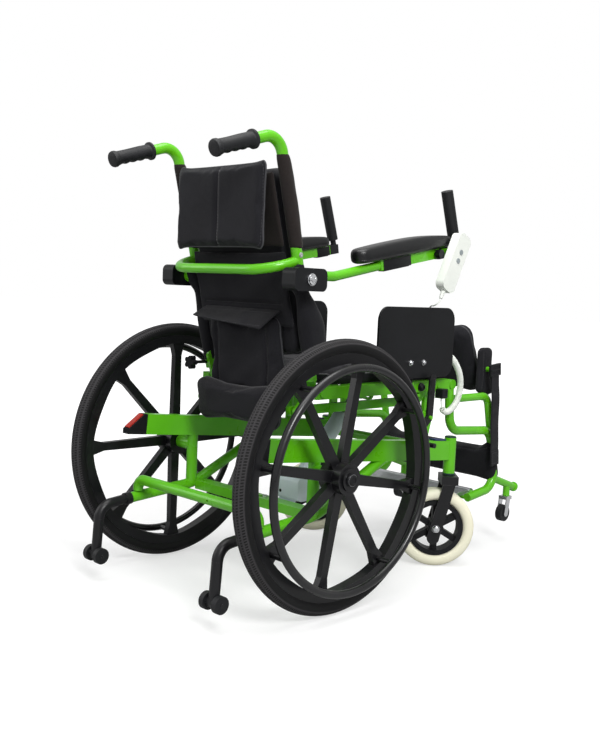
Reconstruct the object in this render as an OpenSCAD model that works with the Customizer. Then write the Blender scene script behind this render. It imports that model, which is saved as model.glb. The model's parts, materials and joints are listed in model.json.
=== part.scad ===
// Standing wheelchair: the seat lifts on an electric actuator while the back stays upright.
// Heights are above the floor. Distances ahead are measured from the rear axle.

/* [Rear wheels] */
// Outer diameter of the rear tyres
wheel_d = 610; // [560:1:640]
// Distance between the middles of the rear tyres
wheel_track = 590; // [580:1:640]
// Width of the tyre section
tyre_w = 36; // [30:1:42]
// Width of the wheel rim
rim_w = 26; // [20:1:30]
// Radial depth of the moulded rim
rim_depth = 20; // [14:1:26]
// Number of moulded spokes
spoke_count = 8; // [6:1:10]
// Thickness of a spoke along the axle
spoke_t = 16; // [12:1:20]
// Width of a spoke at its waist
spoke_w = 20; // [14:1:24]
// Diameter of the wheel hub
hub_d = 70; // [60:1:80]
// Length of the wheel hub along the axle
hub_len = 60; // [50:1:66]
// Diameter of the push rim over its tube
handrim_d = 510; // [490:1:514]
// Diameter of the push rim's tube
handrim_tube_d = 18; // [14:1:20]
// Distance from the tyre's middle out to the push rim
handrim_out = 50; // [42:1:56]
// Diameter of the wheel axle
axle_d = 12; // [10:0.5:16]

/* [Base frame] */
// Distance from the middle plane to a base rail
rail_x = 218; // [214:1:222]
// Width of a base rail
rail_w = 25; // [20:1:28]
// Height of a base rail
rail_h = 50; // [40:1:56]
// Wall of a base rail
rail_wall = 2.5; // [2:0.1:4]
// Length of the rail behind the axle
rail_rear = 153; // [130:1:170]
// Length of the rail ahead of the axle
rail_front = 503; // [500:1:504]
// Height of the rail's middle above the floor, over the axle
rail_lift = 353; // [345:1:361]
// Fall of the rail towards the front, in degrees
rail_fall = 5.1; // [3:0.1:6]
// Diameter of the upright and lower frame tubes
frame_tube_d = 28; // [24:1:32]
// Diameter of the bent cross tubes
cross_tube_d = 25; // [20:1:28]

/* [Casters] */
// Diameter of the front caster wheels
caster_d = 205; // [180:1:210]
// Width of the front caster tyres
caster_w = 50; // [40:1:54]
// Diameter of the caster rims
caster_rim_d = 145; // [130:1:150]
// Distance from the middle plane to a caster barrel
barrel_x = 222; // [220:1:224]
// Distance of the barrels ahead of the rear axle
barrel_y = 510; // [508:1:514]
// Diameter of the caster barrel
barrel_d = 31; // [28:1:36]
// Length of the caster barrel
barrel_len = 99; // [90:1:103]
// Distance of the caster axle behind its swivel
caster_trail = 30; // [24:1:36]
// Swivel of the casters as they stand, in degrees
caster_swivel = -45; // [-60:1:0]

/* [Seat lift] */
// Distance of the seat pivot ahead of the rear axle
pivot_y = 470; // [460:1:474]
// Height of the seat pivot
pivot_z = 478; // [470:1:486]
// Distance from the seat pivot back to the backrest pivot
thigh_len = 437; // [425:1:445]
// Distance from the seat pivot forward to the leg rest pivot
knee_len = 65; // [60:1:68]
// Distance from the middle plane to a seat rail
seat_rail_x = 190; // [189:1:191]
// Width of a seat rail
seat_rail_w = 25; // [22:1:26]
// Height of a seat rail
seat_rail_h = 28; // [24:1:30]
// Diameter of the seat cross tubes
seat_tube_d = 22; // [18:1:24]
// Diameter of the main pivot pins
pivot_pin_d = 12; // [10:0.5:14]
// Diameter of the link and actuator pins
link_pin_d = 10; // [8:0.5:11]
// Width of the seat cushion
cushion_w = 400; // [370:1:406]
// Length of the seat cushion
cushion_len = 460; // [430:1:464]
// Thickness of the seat cushion
cushion_t = 46; // [36:1:50]

/* [Backrest] */
// Distance from the middle plane to a back post
post_x = 178; // [177:1:179]
// Diameter of the back posts and push handles
post_d = 25; // [22:1:26]
// Height where the back posts lean further back
post_knee_z = 790; // [780:1:800]
// Height of the corner where a post turns into its handle
handle_top_z = 1040; // [1030:1:1060]
// Length of a push handle behind its corner
handle_len = 181; // [170:1:190]
// Length of a rubber push grip
grip_len = 112; // [100:1:118]
// Diameter of a rubber push grip
grip_d = 32; // [30:1:36]

/* [Armrests] */
// Distance from the middle plane to an armrest
arm_x = 212; // [210:1:214]
// Height of the armrest pivot
arm_pivot_z = 733; // [728:1:738]
// Length of the armrest pad
arm_pad_len = 360; // [340:1:366]
// Width of the armrest pad
arm_pad_w = 56; // [48:1:58]
// Thickness of the armrest pad
arm_pad_t = 38; // [30:1:42]
// Length of the upright hand grip
hand_grip_len = 124; // [110:1:130]
// Diameter of the upright hand grip
hand_grip_d = 30; // [26:1:34]
// Length of the handset
handset_len = 155; // [145:1:160]
// Width of the handset
handset_w = 52; // [46:1:56]
// Thickness of the handset
handset_t = 24; // [20:1:26]

/* [Leg rest] */
// Diameter of the leg rest tubes
leg_tube_d = 24; // [22:0.5:24.4]
// Width of the knee pad
knee_pad_w = 344; // [320:1:346]
// Height of the knee pad
knee_pad_h = 210; // [190:1:214]
// Thickness of the knee pad
knee_pad_t = 55; // [45:1:60]
// Width of the shin pad
shin_pad_w = 416; // [408:1:424]
// Height of the shin pad
shin_pad_h = 130; // [115:1:134]
// Thickness of the shin pad
shin_pad_t = 44; // [38:1:46]
// Width of the footplate
footplate_w = 336; // [310:1:340]
// Length of the footplate
footplate_len = 120; // [105:1:124]
// Diameter of the small front swivel wheels
mini_d = 48; // [40:1:50]

/* [Hidden] */
$fn = 48;

// Clearances
run_fit = 0.05;
seat_gap = 0.3;
side_gap = 1.5;
overrun = 2;
// A bend stands this much proud of its tube, and the tube runs this far into it
bend_skin = 0.2;
bend_lap = 2;
lap_share = 0.25;
// The second of two bars on one pin is this much narrower, and thinner by the skin on each face
bar_step = 2;

// Rear wheel values
wheel_r = wheel_d / 2;
rim_lap = 5;
rim_r = wheel_r - tyre_w + rim_lap;
spoke_root_w = 26;
spoke_flare_w = 38;
flare_len = 34;
lobe_depth = 5;
lobe_steps = 96;
hub_ring_d = 50;
hub_ring_h = 5;
standoff_d = 12;
axle_head_d = 26;
axle_head_h = 6;
boss_d = 34;
// How far the right wheel stands rolled on, in degrees
right_wheel_turn = 11;
function wheel_turn(side) = side > 0 ? -right_wheel_turn : 0;

// Base frame values
function rail_z(y) = rail_lift - y * tan(rail_fall);
lower_rear_y = -188;
lower_rear_z = 187;
lower_knee_y = 10;
lower_knee_z = 203;
lower_front_y = 234;
lower_bend = 150;
lower_tube_d = 26;
barrel_rise = 9;
barrel_top_z = rail_z(barrel_y) + rail_h / 2 + barrel_rise;
barrel_bottom_z = barrel_top_z - barrel_len;
rest_y = 345;
rest_d = 22;
rest_pad_t = 6;
rest_pad_len = 26;
brake_plate_t = 8;
brake_plate_w = 34;
brake_lever_t = 6;
brake_lever_w = 23;
brake_shoe_d = 12;
brake_gap = 11;
brake_angle = 7.85;
brake_arm = [66, 56];
brake_lever_rise = [5, 98];
brake_foot_back = 23;
brake_reach = wheel_r + brake_gap + brake_shoe_d / 2;
brake_shoe = [0, wheel_r] + brake_reach * [cos(brake_angle), sin(brake_angle)];
brake_pivot = brake_shoe + brake_arm;
brake_lever_top = brake_pivot + brake_lever_rise;
brake_foot_y = brake_pivot[0] - brake_foot_back;
brake_foot = [brake_foot_y, rail_z(brake_foot_y)];
brake_tip_d = 16;
brake_tip_len = 42;
bow_y = -165;
bow_z = 231;
bow_bend = 22;
bow_hole_x = 60;
bow_hole_d = 6.5;
low_cross_y = 20;
low_cross_z = 200;
low_cross_d = 36;
low_cross_h = 22;
front_cross_z = rail_z(pivot_y);
cap_len = 52;
cap_flat = 8;
cap_tail = 12;
reflector_t = 3;
reflector_inset = 4;
bolt_d = 12;
bolt_h = 5;

// Anti-tip values
tip_bar_d = 24;
tip_bend_y = -274;
tip_bend_z = 178;
tip_bend = 36;
tip_axle_y = -282;
tip_axle_z = 62;
tip_axle_d = 8;
tip_roller_d = 38;
tip_roller_w = 13;
tip_collar_d = 30;
tip_collar_len = 16;

// Caster values
stem_d = 12;
crown_h = 22;
crown_w = 44;
blade_t = 5;
blade_w = 32;
blade_gap = 3;
blade_tail = 26;
caster_axle_d = 12;
caster_rim_wall = 12;
caster_rim_w = 42;
caster_hub_d = 42;
caster_spokes = 6;
caster_spoke_w = 15;
caster_spoke_t = 24;
caster_tyre_round = 14;
axle_nut_d = 20;
axle_nut_h = 6;

// Seat lift values
seat_pivot = [pivot_y, pivot_z];
back_pivot = [pivot_y - thigh_len, pivot_z];
knee_pivot = [pivot_y + knee_len, pivot_z];
link_step = [-45, -43];
link_base = seat_pivot + link_step;
link_back = back_pivot + link_step;
link_x = 150;
link_t = 10;
link_w = 22;
link_play = 0.5;
strut_x = 160;
strut_t = 10;
strut_w = 26;
seat_rail_back = 18;
seat_rail_gap = 3;
lug_t = 6;
lug_w = 26;
rear_tube_y = 90;
mid_tube_y = 400;
motor_foot = [120, 165];
lift_lug = [380, 445];
slot_angle = -11.8;
slot_len = 35;
slot_w = 15;
slot_drop = 1.4;
slot_x = 12;
slot_t = 7;
slot_wall = 9;
slot_hanger_w = 26;
motor_w = 84;
motor_side = 30;
motor_back = 20;
motor_front = 72;
motor_low = 27;
motor_high = 86;
motor_round = 14;
bracket_t = 6;
bracket_w = 26;
lift_tube_d = 42;
lift_tube_len = 300;
lift_rod_d = 22;
lift_rod_root = 90;
guard_x = 222;
guard_t = 6;
guard_len = 300;
guard_h = 176;
guard_mid_y = 340;
guard_low_z = 504;
guard_round = 34;
guard_post_d = 12;
guard_post_x = 211;
guard_post_low_z = pivot_z - seat_rail_h / 2;
guard_post_high_z = 572;
guard_socket_d = 19;
guard_clip_w = 76;
guard_clip_h = 56;
guard_bolt_step = 52;
guard_bolt_z = 543;
socket_y = 470;
socket_w = 20;
socket_low_z = 446;
socket_x = 214;

// Backrest values
post_low_z = 506;
post_low_y = 20;
post_knee_y = -45;
handle_y = -112;
handle_end_z = 986;
handle_bend = 40;
post_bend = 400;
back_plate_x = 164;
back_plate_t = 8;
back_plate_w = 30;
link_arm_w = 26;
pivot_head_d = 20;
back_bow_y = -124;
back_bow_z = 750;
back_bow_d = 22;
back_bow_bend = 70;
back_bow_top_z = 774;
grip_flange_d = 42;
grip_flange_t = 6;
grip_wall_end = 7;
back_rest_low_z = 548;
back_rest_high_z = 985;
back_rest_t = 52;
flap_low_z = 787;
flap_high_z = 992;
flap_w = 318;
flap_t = 22;
flap_seam = 10;
pocket_low_z = 405;
pocket_high_z = 700;
pocket_w = 282;
pocket_t = 62;
knob_z = 519;
knob_stem_d = 8;
knob_stem_len = 46;
knob_d = 34;
knob_h = 16;
knob_lobe_d = 12;
knob_lobes = 5;

// Armrest values
arm_pivot = [-50, arm_pivot_z];
arm_pin_d = 14;
arm_head_d = 22;
arm_boss_d = 30;
housing_len = 100;
housing_h = 50;
housing_w = 40;
housing_round = 14;
arm_tube_d = 22;
arm_tube_rise = 10;
arm_tube_z = arm_pivot_z + arm_tube_rise;
arm_tube_flat_y = 40;
arm_tube_end_y = 260;
arm_tube_bend = 60;
arm_tilt = 10.5;
pad_mid_y = 286;
pad_low_z = 805;
arm_rail_w = 24;
arm_rail_back = 100;
arm_rail_front = arm_pad_len / 2;
// Height of the middle of the rail under the tilted pad
function arm_rail_z(y) = pad_low_z + (y - pad_mid_y) * tan(arm_tilt)
    - (seat_gap + arm_rail_w / 2) / cos(arm_tilt);
pad_front = [pad_mid_y + arm_rail_front * cos(arm_tilt), pad_low_z + arm_rail_front * sin(arm_tilt)];
arm_bore_w = 17;
arm_bore_len = 170;
slider_w = 16;
slider_len = 160;
slider_reach = 34;
grip_ahead = [23.44, 18.5];
grip_low = pad_front + grip_ahead;
grip_lean = 19;
post_block_w = 26;
post_block_len = 30;
clamp_d = 22;
clamp_h = 14;
clamp_stem_d = 8;
clamp_stem_len = 12;
clamp_back = 70;
clamp_y = arm_rail_front - clamp_back;
handset_x = 246;
handset_back = [36, 44.8];
handset_mid = pad_front - handset_back;
handset_lean = 26.6;
handset_round = 16;
holder_t = 10;
holder_h = 22;
holder_back = 42;
holder_y = arm_rail_front - holder_back;
button_d = 13;
button_h = 4;
button_sink = 2.4;
button_step = 24;
button_mid = 18;
relief_d = 13;
relief_tip_d = 8;
relief_len = 22;

// Leg rest values
hanger_knee = [548, 352];
hanger_front = [742, 338];
hanger_foot = [782, 172];
hanger_end = [650, 156.4];
leg_bend = 45;
knee_arm_z = 437;
knee_arm_d = 21;
knee_arm_bend = 32;
knee_arm_share = 0.3;
eye_d = 26;
knee_pad_mid = [712, 548];
knee_pad_lean = 25;
knee_bar_w = 30;
knee_bar_t = 12;
shin_share = 0.52;
shin_round = 18;
footplate_t = 10;
foot_hinge_y = 700;
foot_hinge_d = 10;
foot_knuckle_d = 20;
foot_peg_y = 664;
foot_peg_d = 10;
foot_peg_len = 26;
foot_cut_x = 44;
foot_cut_y = 50;
foot_rib_count = 9;
foot_rib_h = 2;
outrigger_d = 21;
outrigger_start = [775, 196];
outrigger_end = [882, 160];
outrigger_cap_t = 5;
outrigger_cap_d = 28;
strap_x = shin_pad_w / 2 + seat_gap;
strap_post_d = 14;
strap_t = 3;
strap_w = 38;
strap_top = [712, 512];
strap_low = [742, 240];
buckle_w = 50;
buckle_h = 34;
buckle_t = 9;
mini_y = 848;
mini_trail = 14;
mini_w = 18;
mini_boss_d = 20;
mini_stem_d = 9;
mini_boss_z = 138;
mini_plate_t = 3;
mini_plate_w = 19;
mini_fork_gap = 1.5;
mini_axle_d = 6;
mini_axle_z = 88;
mini_top_h = 10;

// The middle of the whole chair, front to back, is the origin
front_reach = outrigger_end[0] + outrigger_cap_t;
mid_y = (front_reach - wheel_r) / 2;

// The cord's route from the handset, over the side guard and down to its socket
cord_d = 3.4;
cord_lead = 8;
handset_down = [-sin(handset_lean), -cos(handset_lean)];
cord_start = at(handset_x + handset_t / 2, handset_mid
    + (handset_len / 2 + relief_len + seat_gap) * handset_down);
cord_end = [socket_x, socket_y, socket_low_z - seat_gap];
cord_route = [
    cord_start, cord_start + at(0, cord_lead * handset_down),
    [252, 375, 689], [240, 380, 685], [226, 389, 684], [214, 398, 675], [211, 408, 654], [211, 428, 616],
    [211, 454, 585], [213, 486, 562], [214, 520, 538], [215, 544, 504], [215, 549, 468], [215, 538, 436],
    [215, 516, 416], [214, 494, 409], [214, 476, 418],
    cord_end - [0, 0, cord_lead], cord_end
];
cord_curl_start = 8.6;
cord_curl_end = 16.2;
cord_curls = 42;
cord_curl_r = 7;
cord_ramp = 1.5;
curl_steps = 240;
cord_sides = 6;
cord_straight_rings = 5;
cord_rings_per_curl = 8;

green = [0.36, 0.72, 0.11];
black = [0.11, 0.11, 0.12];
rubber = [0.2, 0.19, 0.19];
cloth = [0.14, 0.14, 0.15];
silver = [0.75, 0.76, 0.78];
cream = [0.9, 0.88, 0.8];
pale = [0.72, 0.78, 0.82];
white = [0.93, 0.93, 0.9];
red = [0.75, 0.12, 0.08];

// General helpers
function unit(v) = v / norm(v);
function at(x, p) = [x, p[0], p[1]];

module place() {
    translate([0, -mid_y, 0]) children();
}

// Draws the right-hand piece for side 1 and its mirror image for side -1
module on_side(side) {
    mirror([side < 0 ? 1 : 0, 0, 0]) children();
}

module both_sides() {
    for (side = [-1, 1]) on_side(side) children();
}

module rod(a, b, d) {
    v = b - a;
    translate(a) rotate([0, acos(v[2] / norm(v)), atan2(v[1], v[0])]) cylinder(h = norm(v), d = d);
}

module bar_x(x0, x1, p, d) {
    translate(at(x0, p)) rotate([0, 90, 0]) cylinder(h = x1 - x0, d = d);
}

module block(low, high) {
    translate(low) cube(high - low);
}

// One rounded corner of a bent tube, between the directions a-b and b-c
module elbow(a, b, c, d, bend) {
    u = unit(b - a);
    w = unit(c - b);
    turn = acos(u * w);
    n = unit(w - (w * u) * u);
    axis = cross(u, n);
    middle = b - u * bend * tan(turn / 2) + n * bend;
    multmatrix([
        [-n[0], u[0], axis[0], middle[0]],
        [-n[1], u[1], axis[1], middle[1]],
        [-n[2], u[2], axis[2], middle[2]],
        [0, 0, 0, 1]
    ]) rotate_extrude(angle = turn) translate([bend, 0]) circle(d = d + 2 * bend_skin);
}

// How far from its corner the straight tube ends, a little way into the bend
function corner_cut(a, b, c, bend) = let (turn = acos(unit(b - a) * unit(c - b)))
    bend * tan(turn / 2) - min(bend_lap, bend * turn * PI / 180 * lap_share);

// A round tube through the given points, each corner bent to the radius listed for it
module bent_tube(points, d, bends) {
    last = len(points) - 1;
    for (i = [0 : last - 1]) {
        u = unit(points[i + 1] - points[i]);
        head = i == 0 ? 0 : corner_cut(points[i - 1], points[i], points[i + 1], bends[i - 1]);
        tail = i == last - 1 ? 0 : corner_cut(points[i], points[i + 1], points[i + 2], bends[i]);
        rod(points[i] + u * head, points[i + 1] - u * tail, d);
        if (i < last - 1) elbow(points[i], points[i + 1], points[i + 2], d, bends[i]);
    }
}

// A flat bar with round ends, lying across the chair at x, between two points seen from the side
module flat_bar(a, b, w, x, t) {
    v = b - a;
    translate(at(x, a)) rotate([atan2(v[1], v[0]), 0, 0]) {
        translate([0, 0, bend_skin - w / 2]) cube([t, norm(v), w - 2 * bend_skin]);
        rotate([0, 90, 0]) cylinder(h = t, d = w);
        translate([0, norm(v), 0]) rotate([0, 90, 0]) cylinder(h = t, d = w);
    }
}

// A bar that shares a pin with another one, inside the other's faces
module second_bar(a, b, w, x, t) {
    flat_bar(a, b, w - bar_step, x + bend_skin, t - 2 * bend_skin);
}

module rounded_square(w, h, r) {
    square([w - 2 * r, h], center = true);
    square([w, h - 2 * r], center = true);
    for (x = [-1, 1], y = [-1, 1]) translate([x * (w / 2 - r), y * (h / 2 - r)]) circle(r);
}

// A plate seen from the side of the chair, its near face at x
module side_plate(w, h, r, x, t, middle) {
    translate(at(x, middle)) rotate([90, 0, 90]) linear_extrude(t) rounded_square(w, h, r);
}

// A soft pad with a flat back, drawn-in sides and a crowned face, with an optional sewn seam
pad_steps = 36;
pad_power = 5;
seam_share = 0.35;
face_share = 0.9;
pad_ring_shares = [[0.94, 0], [0.99, 0.14], [1, 0.34], [0.99, 0.54], [0.96, 0.7], [0.88, 0.84], [0.7, 0.93],
    [0.45, 0.98]];

function pad_edge(w, h) = [for (i = [0 : pad_steps - 1]) let (a = 360 * i / pad_steps,
    k = pow(pow(abs(cos(a)), pad_power) + pow(abs(sin(a)), pad_power), -1 / pad_power))
    [w / 2 * k * cos(a), h / 2 * k * sin(a)]];

function seam_drop(x, seam) = seam > 0 ? seam_share * exp(-pow(x / seam, 2)) : 0;

module pad(w, h, t, seam = 0) {
    edge = pad_edge(w, h);
    rings = len(pad_ring_shares);
    points = concat(
        [for (r = pad_ring_shares, p = edge) [p[0] * r[0], p[1] * r[0],
            t * r[1] * (1 - (r[0] < face_share ? seam_drop(p[0] * r[0], seam) : 0))]],
        [[0, 0, 0], [0, 0, t * (1 - seam_drop(0, seam))]]
    );
    low = rings * pad_steps;
    faces = concat(
        [for (k = [0 : rings - 2], i = [0 : pad_steps - 1]) let (j = (i + 1) % pad_steps, a = k * pad_steps)
            [a + i, a + pad_steps + j, a + j]],
        [for (k = [0 : rings - 2], i = [0 : pad_steps - 1]) let (j = (i + 1) % pad_steps, a = k * pad_steps)
            [a + i, a + pad_steps + i, a + pad_steps + j]],
        [for (i = [0 : pad_steps - 1]) [low, i, (i + 1) % pad_steps]],
        [for (i = [0 : pad_steps - 1]) [low + 1, low - pad_steps + (i + 1) % pad_steps, low - pad_steps + i]]
    );
    polyhedron(points, faces);
}

// Base frame
module side_frame(side) {
    outer = rail_x + rail_w / 2;
    hub_side = wheel_track / 2 - hub_len / 2 - seat_gap;
    color(green) place() on_side(side) difference() {
        union() {
            translate([rail_x, 0, rail_lift]) rotate([-rail_fall, 0, 0])
                translate([-rail_w / 2, -rail_rear, -rail_h / 2])
                    cube([rail_w, rail_rear + rail_front, rail_h]);
            translate([rail_x, 0, lower_knee_z])
                cylinder(h = rail_lift - rail_h / 2 - lower_knee_z + rail_wall / 2, d = frame_tube_d);
            bar_x(rail_x, hub_side, [0, wheel_r], boss_d);
            bent_tube([[rail_x, lower_rear_y, lower_rear_z], [rail_x, lower_knee_y, lower_knee_z],
                [rail_x, lower_front_y, rail_z(lower_front_y) - rail_h / 2 + rail_wall / 2]], lower_tube_d,
                [lower_bend]);
            translate([barrel_x, barrel_y, barrel_bottom_z]) cylinder(h = barrel_len, d = barrel_d);
            translate([rail_x - rail_w / 2 + rest_d / 2, rest_y, rail_z(rest_y) + rail_h / 2 - rail_wall])
                cylinder(h = pivot_z - seat_rail_h / 2 - seat_gap - rail_z(rest_y) - rail_h / 2 + rail_wall,
                    d = rest_d);
            block([seat_rail_x - seat_rail_w / 2, rest_y - rest_pad_len / 2,
                    pivot_z - seat_rail_h / 2 - seat_gap - rest_pad_t],
                [rail_x + rail_w / 2, rest_y + rest_pad_len / 2, pivot_z - seat_rail_h / 2 - seat_gap]);
            flat_bar(brake_foot, brake_pivot, brake_plate_w, outer - rail_wall / 2,
                brake_plate_t + rail_wall / 2);
            bar_x(outer, outer + brake_plate_t + seat_gap + brake_lever_t + bolt_h, brake_pivot, link_pin_d);
        }
        translate([rail_x, 0, rail_lift]) rotate([-rail_fall, 0, 0])
            translate([-rail_w / 2 + rail_wall, -rail_rear - overrun, -rail_h / 2 + rail_wall])
                cube([rail_w - 2 * rail_wall, rail_rear + rail_front - barrel_d, rail_h - 2 * rail_wall]);
        bar_x(rail_x, hub_side + overrun, [0, wheel_r], axle_d + 2 * run_fit);
        translate([barrel_x, barrel_y, barrel_bottom_z - overrun])
            cylinder(h = barrel_len + 2 * overrun, d = stem_d + 2 * run_fit);
    }
}
module left_side_frame() { side_frame(-1); }
module right_side_frame() { side_frame(1); }

module cross_members() {
    lower_slope = (lower_rear_z - lower_knee_z) / (lower_rear_y - lower_knee_y);
    bow_foot_z = lower_knee_z + lower_slope * (bow_y + cross_tube_d / 2 - lower_knee_y)
        + lower_tube_d / 2 + seat_gap;
    tube_side = rail_x - frame_tube_d / 2 - seat_gap;
    clevis_x = lift_tube_d / 2 + side_gap;
    color(green) place() {
        difference() {
            bent_tube([[-rail_x, bow_y, bow_foot_z], [-rail_x, bow_y, bow_z], [rail_x, bow_y, bow_z],
                [rail_x, bow_y, bow_foot_z]], cross_tube_d, [bow_bend, bow_bend]);
            translate([bow_hole_x, bow_y - cross_tube_d, bow_z]) rotate([-90, 0, 0])
                cylinder(h = 2 * cross_tube_d, d = bow_hole_d);
        }
        difference() {
            union() {
                block([-tube_side, low_cross_y - low_cross_d / 2, low_cross_z - low_cross_h / 2],
                    [tube_side, low_cross_y + low_cross_d / 2, low_cross_z + low_cross_h / 2]);
                for (x = [-clevis_x - bracket_t, clevis_x])
                    flat_bar([low_cross_y, low_cross_z], motor_foot, bracket_w, x, bracket_t);
            }
            bar_x(-clevis_x - bracket_t - overrun, clevis_x + bracket_t + overrun, motor_foot,
                link_pin_d + 2 * run_fit);
        }
        bar_x(-rail_x + rail_w / 2 + seat_gap, rail_x - rail_w / 2 - seat_gap, [pivot_y, front_cross_z],
            cross_tube_d);
        both_sides() {
            flat_bar([pivot_y, front_cross_z], seat_pivot, strut_w, strut_x, strut_t);
            second_bar(seat_pivot, link_base, strut_w, strut_x, strut_t);
            bar_x(strut_x, seat_rail_x + seat_rail_w / 2 + side_gap, seat_pivot, pivot_pin_d);
            bar_x(link_x - link_t / 2 - side_gap, strut_x + strut_t, link_base, link_pin_d);
        }
    }
}

module rail_end(side) {
    on_side(side) translate([rail_x - rail_w / 2, 0, rail_lift]) rotate([-rail_fall, 0, 0])
        translate([0, -rail_rear - seat_gap, 0]) children();
}

module rail_end_caps() {
    color(black) place() for (side = [-1, 1]) rail_end(side)
        rotate([90, 0, 90]) linear_extrude(rail_w) polygon([[0, -rail_h / 2], [0, rail_h / 2],
            [-cap_flat, rail_h / 2], [-cap_len, cap_tail - rail_h / 2], [-cap_len, -rail_h / 2]]);
}

module rear_reflectors() {
    slope = [cap_flat - cap_len, cap_tail - rail_h];
    color(red) place() for (side = [-1, 1]) rail_end(side)
        translate([0, -cap_flat, rail_h / 2]) rotate([atan2(slope[1], slope[0]), 0, 0])
            translate([reflector_inset, reflector_inset, -reflector_t - seat_gap])
                cube([rail_w - 2 * reflector_inset, norm(slope) - 2 * reflector_inset, reflector_t]);
}

module rear_axles() {
    hub_face = wheel_track / 2 + hub_len / 2 + hub_ring_h + seat_gap;
    color(silver) place() both_sides() {
        bar_x(rail_x + seat_gap, hub_face, [0, wheel_r], axle_d);
        bar_x(hub_face, hub_face + axle_head_h, [0, wheel_r], axle_head_d);
    }
}

module anti_tip_bars() {
    axle_half = tip_bar_d / 2 + tip_roller_w + 2 * side_gap;
    start_y = lower_rear_y - seat_gap;
    collar_z = lower_rear_z + (tip_bend_z - lower_rear_z) * tip_collar_len / (start_y - tip_bend_y);
    color(black) place() both_sides() {
        bent_tube([[rail_x, start_y, lower_rear_z], [rail_x, tip_bend_y, tip_bend_z],
            [rail_x, tip_axle_y, tip_axle_z]], tip_bar_d, [tip_bend]);
        rod([rail_x, start_y, lower_rear_z], [rail_x, start_y - tip_collar_len, collar_z], tip_collar_d);
        bar_x(rail_x - tip_bar_d / 2, rail_x + tip_bar_d / 2, [tip_axle_y, tip_axle_z], tip_bar_d);
        bar_x(rail_x - axle_half, rail_x + axle_half, [tip_axle_y, tip_axle_z], tip_axle_d);
    }
}

module frame_bolts() {
    plate = rail_x + rail_w / 2 + brake_plate_t;
    clevis_bolt_x = lift_tube_d / 2 + side_gap + bracket_t + bolt_d;
    color(silver) place() both_sides() {
        translate(at(plate, brake_foot)) rotate([0, 90, 0]) cylinder(h = bolt_h, d = bolt_d, $fn = 6);
        translate([rail_x, -frame_tube_d / 2, wheel_r + boss_d]) rotate([90, 0, 0])
            cylinder(h = bolt_h, d = bolt_d, $fn = 6);
        translate([clevis_bolt_x, low_cross_y, low_cross_z + low_cross_h / 2])
            cylinder(h = bolt_h, d = bolt_d, $fn = 6);
    }
}

// Rear wheels
module wheel_place(side) {
    place() translate([side * wheel_track / 2, 0, wheel_r]) rotate([0, side * 90, 0]) children();
}

module tyre(side) {
    color(rubber) wheel_place(side) rotate_extrude() intersection() {
        translate([wheel_r - tyre_w / 2, 0]) circle(d = tyre_w);
        translate([rim_r, -tyre_w]) square([tyre_w, 2 * tyre_w]);
    }
}
module left_tyre() { tyre(-1); }
module right_tyre() { tyre(1); }

module mag_wheel(side) {
    inner_r = rim_r - rim_depth;
    waist_r = inner_r - flare_len;
    color(black) wheel_place(side) difference() {
        union() {
            linear_extrude(rim_w, center = true) difference() {
                circle(rim_r);
                rotate(wheel_turn(side)) polygon([for (i = [0 : lobe_steps - 1])
                    let (a = 360 * i / lobe_steps, r = inner_r - lobe_depth * (1 - cos(spoke_count * a)) / 2)
                        [r * cos(a), r * sin(a)]]);
            }
            for (i = [0 : spoke_count - 1]) rotate(wheel_turn(side) + 360 * i / spoke_count)
                linear_extrude(spoke_t, center = true) polygon([[0, -spoke_root_w / 2],
                    [waist_r, -spoke_w / 2], [inner_r, -spoke_flare_w / 2],
                    [inner_r + rim_depth / 2, -spoke_flare_w / 2],
                    [inner_r + rim_depth / 2, spoke_flare_w / 2], [inner_r, spoke_flare_w / 2],
                    [waist_r, spoke_w / 2], [0, spoke_root_w / 2]]);
            cylinder(h = hub_len, d = hub_d, center = true);
            cylinder(h = hub_len / 2 + hub_ring_h, d = hub_ring_d);
        }
        cylinder(h = 2 * hub_len, d = axle_d + 2 * run_fit, center = true);
    }
}
module left_mag_wheel() { mag_wheel(-1); }
module right_mag_wheel() { mag_wheel(1); }

module handrim(side) {
    ring_r = (handrim_d - handrim_tube_d) / 2;
    color(black) wheel_place(side) {
        translate([0, 0, handrim_out]) rotate_extrude() translate([ring_r, 0]) circle(d = handrim_tube_d);
        for (i = [0 : spoke_count - 1]) rotate(wheel_turn(side) + 360 * i / spoke_count)
            translate([ring_r, 0, spoke_t / 2]) cylinder(h = handrim_out - spoke_t / 2, d = standoff_d);
    }
}
module left_handrim() { handrim(-1); }
module right_handrim() { handrim(1); }

// Front casters
module caster_place(side) {
    place() translate([side * barrel_x, barrel_y, 0]) rotate(caster_swivel) children();
}

module caster_wheel_place(side) {
    caster_place(side) translate([0, -caster_trail, caster_d / 2]) rotate([0, 90, 0]) children();
}

module caster_fork(side) {
    crown_top = barrel_bottom_z - seat_gap;
    blade_x = caster_w / 2 + blade_gap;
    crown_half = blade_x + blade_t + side_gap;
    axle = [-caster_trail, caster_d / 2];
    crown = [0, crown_top - blade_w / 2 - side_gap];
    tail = axle + unit(axle - crown) * blade_tail;
    color(black) caster_place(side) {
        translate([0, 0, crown_top - crown_h]) cylinder(h = crown_h + seat_gap + barrel_len, d = stem_d);
        block([-crown_half, -crown_w / 2, crown_top - crown_h], [crown_half, crown_w / 2, crown_top]);
        for (x = [-blade_x - blade_t, blade_x]) flat_bar(crown, tail, blade_w, x, blade_t);
        bar_x(-blade_x - blade_t - axle_nut_h, blade_x + blade_t + axle_nut_h, axle, caster_axle_d);
        for (x = [-blade_x - blade_t - axle_nut_h, blade_x + blade_t])
            bar_x(x, x + axle_nut_h, axle, axle_nut_d);
    }
}
module left_caster_fork() { caster_fork(-1); }
module right_caster_fork() { caster_fork(1); }

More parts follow.
